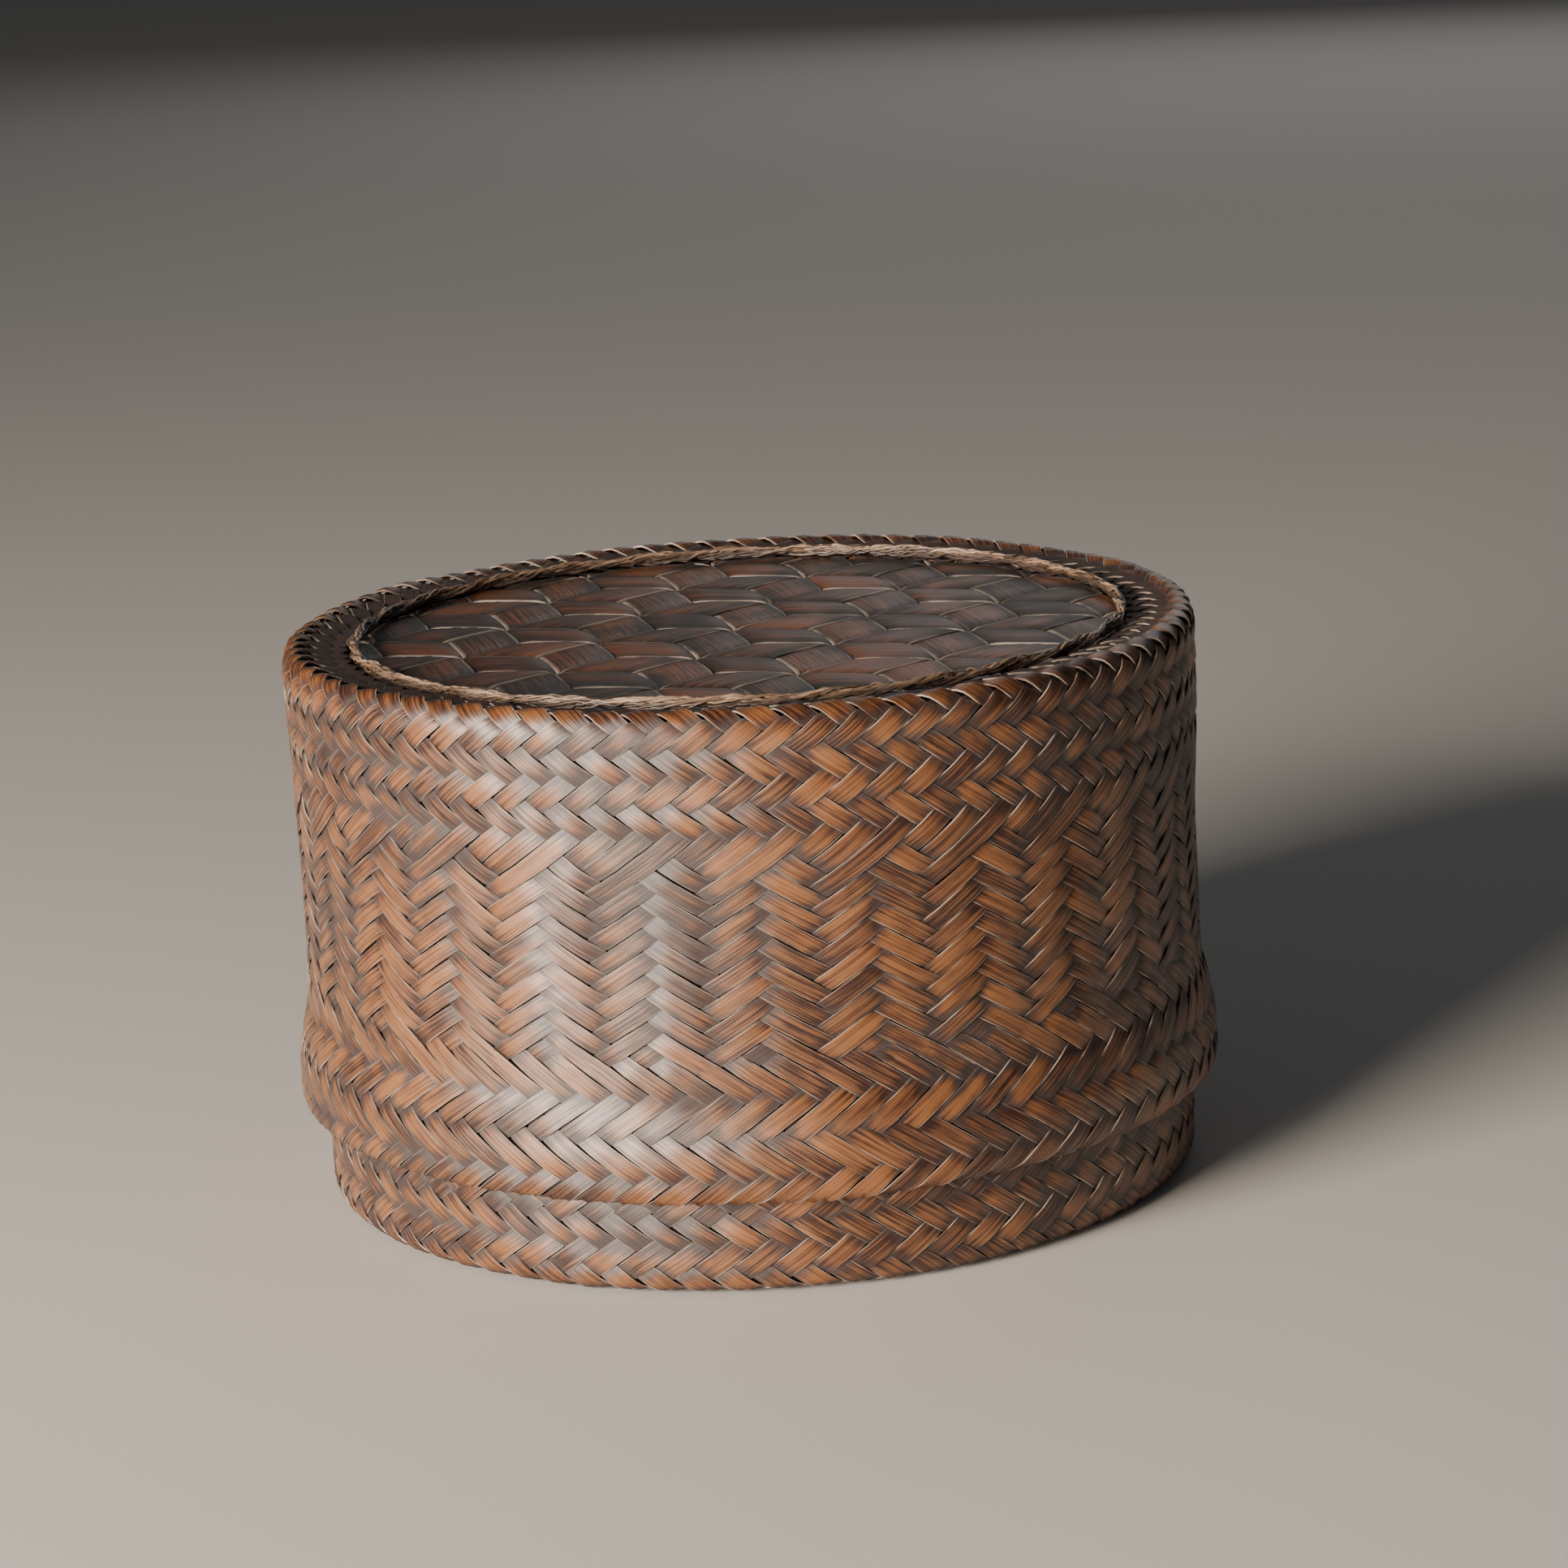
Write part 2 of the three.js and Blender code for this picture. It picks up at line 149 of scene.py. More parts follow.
lid_low, lid_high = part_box("lid_outer_wall")
inner_low, inner_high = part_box("lid_inner_wall")
base_low, base_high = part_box("base_outer_wall")
ring_low, ring_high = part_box("lid_binding_strand_1")
base_ring_low, base_ring_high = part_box("base_binding_strand_1")
base_panel_low, base_panel_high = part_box("base_panel")

WALL_LAYER = 1.2 * MM           # one woven layer with its swing
FIT_GAP = 0.3 * MM
LID_TOP, LID_RIM, LID_FLARE = lid_high.z, lid_low.z, lid_high.x
LID_RADIUS = inner_high.x + WALL_LAYER + FIT_GAP
LID_WAIST = 1.03 * MM           # the lid draws in this much halfway up
RING_OUTSIDE = ring_high.x
BAND_RADIUS, BASE_RIM = base_high.x, base_high.z
print("lid radius", round(LID_RADIUS, 4), "top", round(LID_TOP, 4), "rim", round(LID_RIM, 4))

# %% [markdown]
# ## The profile that a wall is woven on
#
# Cut the basket in half and the middle of a woven layer is one line: out from the binding, over the
# shoulder, down the side and round the rim. The weave is counted in crossings, one for each splint that a
# splint passes, so the line is cut into crossings, with a few short steps in each. The crossings are not
# equally long: the weaver beat the upright columns in the middle of the wall tighter than the rows above and
# below them.
#
# Each point of the line also carries the direction that points out of the wall, and the length of a crossing.

# %% Helpers for the profile
STEPS_PER_CROSSING = 4


def smooth(t):
    t = np.clip(t, 0, 1)
    return t * t * (3 - 2 * t)


def arc(r, z, radius_r, radius_z, start, end, count=24):
    angles = np.radians(np.linspace(start, end, count))
    return np.column_stack([r + radius_r * np.cos(angles), z + radius_z * np.sin(angles)])


def side(radius, start, end, count=80):
    heights = np.linspace(start, end, count)
    return np.column_stack([radius(heights), heights])


def lengths_along(outline):
    """The length of the outline from its start to each of its points."""
    return np.concatenate([[0], np.cumsum(np.linalg.norm(np.diff(outline, axis=0), axis=1))])


def length_at(outline, test):
    """The length along the outline up to the first point that passes the test."""
    return lengths_along(outline)[np.argmax(test(outline))]


def step_out(outline, marks):
    """Cuts an outline into crossings. marks holds pairs: a crossing's number, and the length up to it."""
    crossings, places = zip(*marks)
    rows = np.arange(0, crossings[-1] * STEPS_PER_CROSSING + 1) / STEPS_PER_CROSSING
    at = np.interp(rows, crossings, places)
    return np.column_stack([np.interp(at, lengths_along(outline), outline[:, k]) for k in (0, 1)])


def profile_object(name, points, side_out=1):
    """A line of points in the XZ plane, carrying the way out of the wall and the length of one crossing."""
    slope = np.gradient(points, axis=0) * STEPS_PER_CROSSING
    pitch = np.linalg.norm(slope, axis=1)
    out = np.column_stack([-slope[:, 1], slope[:, 0]]) / pitch[:, None] * side_out
    mesh = bpy.data.meshes.new(name)
    mesh.from_pydata([(r, 0, z) for r, z in points], [(i, i + 1) for i in range(len(points) - 1)], [])
    layer = mesh.attributes.new("out", "FLOAT_VECTOR", "POINT")
    layer.data.foreach_set("vector", np.column_stack([out[:, 0], pitch, out[:, 1]]).ravel())
    return linked(name, mesh)


print("one crossing takes", STEPS_PER_CROSSING, "steps of a profile")

# %% The sizes of the lid's outer layer
LID_SPLINTS = 81                # splints in each direction round the lid
TOP_END, COLUMN_ROWS, RIM_ROWS = 16, 17, 12
TEETH_FROM, TEETH_TO = 3.5, 5.5  # crossings between which the teeth of the shoulder's edge lie
COLUMNS_TOP, COLUMNS_BOTTOM = 92.4 * MM, 50 * MM
CORNER = 3 * MM
TOP_DIPS = 2.3 * MM, 1.9 * MM, 1.3 * MM     # the top under the shoulder: at the ring, beside it, at the edge
TEETH_RISE = 0.4 * MM           # how far the edge stands above the rest of the shoulder
TEETH_ANGLES = 120, 24          # where the teeth begin and end, in degrees round the shoulder's corner
SWELL_TOP = LID_RIM + 26.5 * MM
SWELL_BOTTOM = LID_RIM + 8.5 * MM
LIP_HEIGHT = 3.2 * MM           # the fold round the rim starts this high above it
column_end = TOP_END + COLUMN_ROWS
lid_rows = column_end + RIM_ROWS
print("lid:", LID_SPLINTS, "splints each way,", lid_rows, "crossings from ring to rim")

# %% Draw the lid's outer profile
def lid_waist(z):
    """How far the lid draws in at a height."""
    return LID_WAIST * np.sin(np.pi * (z - LID_RIM) / (LID_TOP - LID_RIM)) ** 2


def lid_side(z):
    swell = (LID_FLARE - LID_RADIUS) * (1 - smooth((z - SWELL_BOTTOM) / (SWELL_TOP - SWELL_BOTTOM)))
    return LID_RADIUS - LAYER_DEPTH - lid_waist(z) + swell


def on_side_below(height):
    """A test for length_at: the first point of the lid's side under a height."""
    return lambda p: (p[:, 1] < height) & (p[:, 0] > LID_RADIUS * 0.97)


lid_corner_r = LID_RADIUS - LAYER_DEPTH - CORNER
lid_corner_z = LID_TOP + TEETH_RISE - LAYER_DEPTH - CORNER
lip_out = LID_FLARE - LAYER_DEPTH
lip_in = inner_high.x - 0.5 * WALL_LAYER
lip_r, lip_z = (lip_out + lip_in) / 2, LID_RIM + LIP_HEIGHT
top_places = RING_OUTSIDE - 0.3 * MM, RING_OUTSIDE + 3 * MM, lid_corner_r - 0.9 * CORNER
lid_outline = np.vstack([
    np.column_stack([top_places, LID_TOP - np.array(TOP_DIPS)]),
    arc(lid_corner_r, lid_corner_z, CORNER, CORNER, TEETH_ANGLES[0], 0, 47),
    side(lid_side, lid_corner_z - MM, lip_z + MM),
    arc(lip_r, lip_z, (lip_out - lip_in) / 2, lip_z - LID_RIM - LAYER_DEPTH, 0, -180),
])
teeth_end = lid_corner_r + CORNER * math.cos(math.radians(TEETH_ANGLES[1]))
lid_marks = [
    (0, 0),
    (TEETH_FROM, length_at(lid_outline, lambda p: p[:, 0] > lid_corner_r - 0.6 * CORNER)),
    (TEETH_TO, length_at(lid_outline, lambda p: p[:, 0] > teeth_end)),
    (TOP_END, length_at(lid_outline, on_side_below(COLUMNS_TOP))),
    (column_end, length_at(lid_outline, on_side_below(COLUMNS_BOTTOM))),
    (lid_rows, lengths_along(lid_outline)[-1]),
]
lid_profile = step_out(lid_outline, lid_marks)
print("lid profile:", len(lid_profile), "points,", lid_rows, "crossings")

# %% [markdown]
# ## The tree that weaves a wall
#
# A wall is one splint repeated all the way round, twice: once leaning left and once leaning right. So one
# tree of Geometry Nodes makes one family of splints, and a wall uses it two times. A splint could be drawn
# as a curve and swept, but a swept curve doesn't know how wide the space between its neighbours is, and
# here the width changes with the pitch. Instead the tree takes a thin closed tube, one for each splint, and
# works out for every point of it where on the wall that point belongs:
#
# - how far along its splint it is, counted in crossings, and how far across;
# - whether the splint is over or under at the three nearest crossings, blended so that it bends like a beam;
# - where that is on the profile, and how far round the basket.
#
# Whether a splint is over or under follows the weaver's rule. Near the shoulder it is two over, two under,
# shifted by one each time, and the floats line up in rows. In the middle it is three over, three under, and
# the floats line up in columns. Near the rim it is three over, three under in rows again.

# %% The rule for over and under, as a small tree
def tree_with(name, inputs, outputs):
    tree = bpy.data.node_groups.new(name, "GeometryNodeTree")
    for label, kind in inputs:
        tree.interface.new_socket(label, in_out="INPUT", socket_type="NodeSocket" + kind)
    for label, kind in outputs:
        tree.interface.new_socket(label, in_out="OUTPUT", socket_type="NodeSocket" + kind)
    start = tree.nodes.new("NodeGroupInput")
    return tree, {label: start.outputs[label] for label, _ in inputs}, tree.nodes.new("NodeGroupOutput")


ZONE_INPUTS = [("Lean", "Float"), ("Rows end", "Float"), ("Columns end", "Float"),
               ("Row shift", "Float"), ("Column shift", "Float"), ("Long row shift", "Float")]

over_tree, given, result = tree_with(
    "over_or_under", [("Splint", "Float"), ("Crossing", "Float"), *ZONE_INPUTS], [("Side", "Float")])
row = add(over_tree, MATH, [given["Crossing"], given["Splint"]], operation="ADD")
turn = add(over_tree, MATH, [given["Crossing"], given["Splint"]], operation="SUBTRACT")
turn = add(over_tree, MATH, [turn, given["Lean"]], operation="MULTIPLY")
patterns = []
zones = (row, "Row shift", 4), (turn, "Column shift", 6), (row, "Long row shift", 6)
for counted, shift, repeat in zones:
    shifted = add(over_tree, MATH, [counted, given[shift]], operation="ADD")
    phase = add(over_tree, MATH, [shifted, repeat], operation="FLOORED_MODULO")
    patterns.append(add(over_tree, MATH, [phase, repeat / 2 - 0.5], operation="LESS_THAN"))
in_rows = add(over_tree, MATH, [row, given["Rows end"]], operation="LESS_THAN")
in_columns = add(over_tree, MATH, [row, given["Columns end"]], operation="LESS_THAN")
lower = add(over_tree, MIX, [in_columns, patterns[2], patterns[1]])
left_over = add(over_tree, MIX, [in_rows, lower, patterns[0]])
sign = add(over_tree, MATH, [left_over, -2, 1], operation="MULTIPLY_ADD")
sign = add(over_tree, MATH, [sign, given["Lean"]], operation="MULTIPLY")
over_tree.links.new(usable(sign.outputs)[0], result.inputs["Side"])
print("over_or_under:", len(over_tree.nodes), "nodes")

# %% A small tree that reads the profile between its points
read_tree, given, result = tree_with(
    "read_profile", [("Profile", "Geometry"), ("Row", "Float")], [("Place", "Vector"), ("Out", "Vector")])
step = add(read_tree, MATH, [given["Row"], STEPS_PER_CROSSING], operation="MULTIPLY")
before = add(read_tree, MATH, [step], operation="FLOOR")
after = add(read_tree, MATH, [before, 1], operation="ADD")
share = add(read_tree, MATH, [step, before], operation="SUBTRACT")
position = add(read_tree, "GeometryNodeInputPosition")
outward = add(read_tree, READ, {"Name": "out"}, data_type="FLOAT_VECTOR")
for field, label in ((position, "Place"), (outward, "Out")):
    ends = [add(read_tree, "GeometryNodeSampleIndex", [given["Profile"], field, index],
                data_type="FLOAT_VECTOR", domain="POINT", clamp=True) for index in (before, after)]
    between = add(read_tree, MIX, [share, *ends], data_type="VECTOR")
    read_tree.links.new(usable(between.outputs)[0], result.inputs[label])
print("read_profile:", len(read_tree.nodes), "nodes")

# %% The tree that weaves one family of splints, and its inputs
SPLINT_SIDES = 8

weave_tree, given, result = tree_with("bias_weave", [
    ("Profile", "Geometry"), ("Splints", "Int"), ("Crossings", "Float"), ("Samples", "Int"),
    ("Fill", "Float"), ("Thickness", "Float"), ("Swing", "Float"), ("Wander", "Float"), ("Roll", "Float"),
    ("Wobble", "Float"), ("Teeth", "Float"), ("Teeth row", "Float"), ("Seed", "Int"),
    ("Material", "Material"), *ZONE_INPUTS,
], [("Geometry", "Geometry")])
N = weave_tree
print("bias_weave:", len(given), "inputs")

# %% One tube for each splint
# They are numbered, and all stand on the same spot.
index = add(N, "GeometryNodeInputIndex")
points = add(N, "GeometryNodePoints", [given["Splints"]])
numbered = add(N, STORE, {"Geometry": points, "Name": "splint", "Value": index},
               data_type="FLOAT", domain="POINT")
tube = add(N, "GeometryNodeMeshCylinder", {
    "Vertices": SPLINT_SIDES, "Side Segments": given["Samples"], "Radius": 1.0, "Depth": given["Crossings"]})
copies = add(N, "GeometryNodeInstanceOnPoints", {"Points": numbered, "Instance": tube})
tubes = add(N, "GeometryNodeRealizeInstances", [copies])
print("tubes:", len(N.nodes), "nodes so far")

# %% Where each point is in its tube
# It is counted in crossings along the tube, and runs from -1 to 1 across it and through its thickness. The
# round section is pushed out towards its corners, so that it becomes a flat splint with four sharp edges.
SQUARED = (("X", 0.72), ("Y", 0.26))    # how much of the bend each axis takes

corner = add(N, "ShaderNodeSeparateXYZ", [add(N, "GeometryNodeInputPosition")])
half = add(N, MATH, [given["Crossings"], 0.5], operation="MULTIPLY")
along = add(N, MATH, [corner.outputs["Z"], half], operation="ADD")
splint = add(N, READ, {"Name": "splint"}, data_type="FLOAT")
squared = []
for axis, square in SQUARED:
    cube = add(N, MATH, [corner.outputs[axis], 3], operation="POWER")
    bent = add(N, MATH, [cube, -square], operation="MULTIPLY")
    squared.append(add(N, MATH, [corner.outputs[axis], 1 + square, bent], operation="MULTIPLY_ADD"))
across, through = squared
print("section:", len(N.nodes), "nodes so far")

# %% Each splint's luck
# Noise that runs along a splint and differs from one splint to the next. It makes the splint wander from its
# line, roll about it, and grow wider and narrower.
LUCK_RUNS = ((0.22, 0.0), (0.5, 40.0), (0.09, 80.0))    # changes in one crossing, and where each run starts
LANE_STEP = 7.31                                        # far enough that neighbours share no luck

lane = add(N, MATH, [splint, LANE_STEP, given["Seed"]], operation="MULTIPLY_ADD")
lucks = []
for stretch, offset in LUCK_RUNS:
    run = add(N, MATH, [along, stretch, offset], operation="MULTIPLY_ADD")
    spot = add(N, "ShaderNodeCombineXYZ", [run, lane, 0.0])
    noise = add(N, "ShaderNodeTexNoise", {"Vector": spot, "Scale": 1.0, "Detail": 1.0})
    lucks.append(add(N, MATH, [noise.outputs[0], -0.5], operation="ADD"))
wander_luck, roll_luck, width_luck = lucks
print("luck:", len(N.nodes), "nodes so far")

# %% How far a point is from its splint's middle line
# First the pitch of the weave here, round the basket and down the wall, for half a diamond.
WIDTH_LUCK = 0.3

middle = add(N, "GeometryNodeGroup", {"Profile": given["Profile"], "Row": along}, node_tree=read_tree)
middle_place = add(N, "ShaderNodeSeparateXYZ", [middle.outputs["Place"]])
middle_out = add(N, "ShaderNodeSeparateXYZ", [middle.outputs["Out"]])
half_turn = add(N, MATH, [math.pi, given["Splints"]], operation="DIVIDE")
round_pitch = add(N, MATH, [middle_place.outputs["X"], half_turn], operation="MULTIPLY")
down_pitch = middle_out.outputs["Y"]
round_square = add(N, MATH, [round_pitch, round_pitch], operation="MULTIPLY")
both_square = add(N, MATH, [down_pitch, down_pitch, round_square], operation="MULTIPLY_ADD")
slant = add(N, MATH, [both_square], operation="SQRT")

# A splint fills the room between its neighbours, a little more or less by luck.
room = add(N, MATH, [round_pitch, down_pitch], operation="MULTIPLY")
room = add(N, MATH, [room, slant], operation="DIVIDE")
half_width = add(N, MATH, [room, given["Fill"]], operation="MULTIPLY")
width_factor = add(N, MATH, [width_luck, WIDTH_LUCK, 1.0], operation="MULTIPLY_ADD")
half_width = add(N, MATH, [half_width, width_factor], operation="MULTIPLY")
drift = add(N, MATH, [wander_luck, given["Wander"]], operation="MULTIPLY")
offset = add(N, MATH, [across, half_width, drift], operation="MULTIPLY_ADD")
print("widths:", len(N.nodes), "nodes so far")

# %% The same place, counted in crossings round the basket and down the wall
per_slant = add(N, MATH, [offset, slant], operation="DIVIDE")
steep = add(N, MATH, [down_pitch, round_pitch], operation="DIVIDE")
flat = add(N, MATH, [round_pitch, down_pitch], operation="DIVIDE")
shift_round = add(N, MATH, [per_slant, steep], operation="MULTIPLY")
shift_down = add(N, MATH, [per_slant, flat], operation="MULTIPLY")
shift_down = add(N, MATH, [shift_down, given["Lean"]], operation="MULTIPLY")
row = add(N, MATH, [along, shift_down], operation="SUBTRACT")
turn = add(N, MATH, [splint, -2, along], operation="MULTIPLY_ADD")
turn = add(N, MATH, [turn, given["Lean"], shift_round], operation="MULTIPLY_ADD")
crossing = add(N, MATH, [turn, given["Lean"], row], operation="MULTIPLY_ADD")
crossing = add(N, MATH, [crossing, 0.5], operation="MULTIPLY")
print("crossings:", len(N.nodes), "nodes so far")

# %% Over or under
# The three nearest crossings count. Each is weighted by a raised cosine that is three crossings wide, so the
# three weights always add up to one, and the splint bends smoothly.
REACH = 3

nearest = add(N, MATH, [crossing], operation="ROUND")
lift = 0.0
for neighbour in (-1, 0, 1):
    which = add(N, MATH, [nearest, neighbour], operation="ADD")
    rule = add(N, "GeometryNodeGroup", {
        "Splint": splint, "Crossing": which, **{label: given[label] for label, _ in ZONE_INPUTS}},
        node_tree=over_tree)
    away = add(N, MATH, [crossing, which], operation="SUBTRACT")
    away = add(N, MATH, [away, 2 * math.pi / REACH], operation="MULTIPLY")
    wave = add(N, MATH, [away], operation="COSINE")
    weight = add(N, MATH, [wave, 1 / REACH, 1 / REACH], operation="MULTIPLY_ADD")
    lift = add(N, MATH, [weight, rule.outputs["Side"], lift], operation="MULTIPLY_ADD")
print("over and under:", len(N.nodes), "nodes so far")

# %% Where the point goes: on the profile, and turned round the basket
there = add(N, "GeometryNodeGroup", {"Profile": given["Profile"], "Row": row}, node_tree=read_tree)
angle = add(N, MATH, [turn, half_turn], operation="MULTIPLY")
sine = add(N, MATH, [angle], operation="SINE")
cosine = add(N, MATH, [angle], operation="COSINE")
cosine = add(N, MATH, [cosine, -1], operation="MULTIPLY")
there_place = add(N, "ShaderNodeSeparateXYZ", [there.outputs["Place"]])
there_out = add(N, "ShaderNodeSeparateXYZ", [there.outputs["Out"]])
radius = there_place.outputs["X"]
spot = add(N, "ShaderNodeCombineXYZ", [
    add(N, MATH, [radius, sine], operation="MULTIPLY"),
    add(N, MATH, [radius, cosine], operation="MULTIPLY"),
    there_place.outputs["Z"]])
print("on the wall:", len(N.nodes), "nodes so far")

# %% How proud of the wall the point stands
# Years of use left shallow dents about 36 mm across. At the shoulder's edge the weaver pushed the splints
# together, so there they stand up as teeth, and lose that again within two crossings.
DENTS_PER_METRE = 28.0
TEETH_FULL, TEETH_GONE = 0.3, 1.7           # crossings away from the row of teeth

dents = add(N, "ShaderNodeTexNoise", {"Vector": spot, "Scale": DENTS_PER_METRE, "Detail": 1.0})
dent = add(N, MATH, [dents.outputs[0], -0.5], operation="ADD")
proud = add(N, MATH, [dent, given["Wobble"]], operation="MULTIPLY")
proud = add(N, MATH, [lift, given["Swing"], proud], operation="MULTIPLY_ADD")
from_teeth = add(N, MATH, [row, given["Teeth row"]], operation="SUBTRACT")
from_teeth = add(N, MATH, [from_teeth], operation="ABSOLUTE")
tooth = add(N, RANGE, [from_teeth, TEETH_FULL, TEETH_GONE, 1.0, 0.0], interpolation_type="SMOOTHSTEP")
tooth = add(N, MATH, [tooth, lift], operation="MULTIPLY")
proud = add(N, MATH, [tooth, given["Teeth"], proud], operation="MULTIPLY_ADD")
half_thick = add(N, MATH, [given["Thickness"], 0.5], operation="MULTIPLY")
proud = add(N, MATH, [through, half_thick, proud], operation="MULTIPLY_ADD")
rolled = add(N, MATH, [across, roll_luck], operation="MULTIPLY")
proud = add(N, MATH, [rolled, given["Roll"], proud], operation="MULTIPLY_ADD")
radius = add(N, MATH, [there_out.outputs["X"], proud, radius], operation="MULTIPLY_ADD")
height = add(N, MATH, [there_out.outputs["Z"], proud, there_place.outputs["Z"]], operation="MULTIPLY_ADD")
final = add(N, "ShaderNodeCombineXYZ", [
    add(N, MATH, [radius, sine], operation="MULTIPLY"),
    add(N, MATH, [radius, cosine], operation="MULTIPLY"),
    height])
print("final place:", len(N.nodes), "nodes so far")

# %% Store what the finish needs, then move the points
EDGE_PLACE = 0.4        # x times y is 0.5 along the tube's four corners, and 0 along the lines between them

stored = tubes
length = add(N, MATH, [along, slant], operation="MULTIPLY")
tone = add(N, "FunctionNodeRandomValue", {"ID": splint, "Seed": given["Seed"]}, data_type="FLOAT")
for label, field in (("length", length), ("across", across), ("lift", lift), ("tone", tone), ("row", row)):
    stored = add(N, STORE, {"Geometry": stored, "Name": label, "Value": field},
                 data_type="FLOAT", domain="POINT")

# The tube's four long corners are the splint's sharp edges.
diagonal = add(N, MATH, [corner.outputs["X"], corner.outputs["Y"]], operation="MULTIPLY")
diagonal = add(N, MATH, [diagonal], operation="ABSOLUTE")
is_edge = add(N, "FunctionNodeCompare", {"A": diagonal, "B": EDGE_PLACE}, operation="GREATER_THAN")
stored = add(N, STORE, {"Geometry": stored, "Name": "sharp_edge", "Value": is_edge},
             data_type="BOOLEAN", domain="EDGE")
placed = add(N, "GeometryNodeSetPosition", {"Geometry": stored, "Position": final})
soft = add(N, "GeometryNodeSetShadeSmooth", [placed])
dressed = add(N, "GeometryNodeSetMaterial", {"Geometry": soft, "Material": given["Material"]})
N.links.new(usable(dressed.outputs)[0], result.inputs["Geometry"])
print("bias_weave:", len(N.nodes), "nodes")

# %% [markdown]
# ## Finishes
#
# Every piece here is bamboo, split and scraped by hand, and then years of smoke, hands and washing. Split
# bamboo shows straight fibres along its length, in bundles half a millimetre to a millimetre apart. The
# crowns of the weave are rubbed back to a satin red brown, while the places where a splint dives under its
# neighbour keep a skin of grey brown dust and smoke. There the colour is also darkened, with dirt and painted
# shade, and the sharp edges are worn pale and lightened where they stand raised, as a painted highlight. So
# the finish reads the numbers that the tree stored on each point: the length along the splint and the place
# across it carry the fibres, the lift tells crowns from hollows, and the tone makes each splint a little
# different from the next.

# %% Helpers for a finish of aged split bamboo
def start_material(name):
    material = bpy.data.materials.new(name)
    material.use_nodes = True
    tree = material.node_tree
    tree.nodes.clear()
    return material, tree


def grain(tree, length, across, lane, run, lanes, detail):
    """Noise stretched along a splint. A streak is run long, and as many as lanes lie side by side."""
    spot = add(tree, "ShaderNodeCombineXYZ", [
        add(tree, MATH, [length, 1 / run], operation="MULTIPLY"),
        add(tree, MATH, [across, lanes / 2], operation="MULTIPLY"), lane])
    return add(tree, "ShaderNodeTexNoise", {"Vector": spot, "Scale": 1.0, "Detail": detail}).outputs[0]


STREAK_LENGTH, BLOT_LENGTH = 16 * MM, 7 * MM
REGIONS_PER_METRE = 26.0        # rubbed and dusty regions are about 38 mm across
NOWHERE = -9.0                  # rows are counted from 0, so no part of a splint lies before this one
BAMBOO_IOR = 1.5
# The darkest colour, put into the dives where a splint sinks under its neighbours: dirt, and painted shade.
DIVE_DIRT_AND_SHADE = "#2e2521"
TONE_LANES = 37.0               # far enough that splints of different tones share no streaks


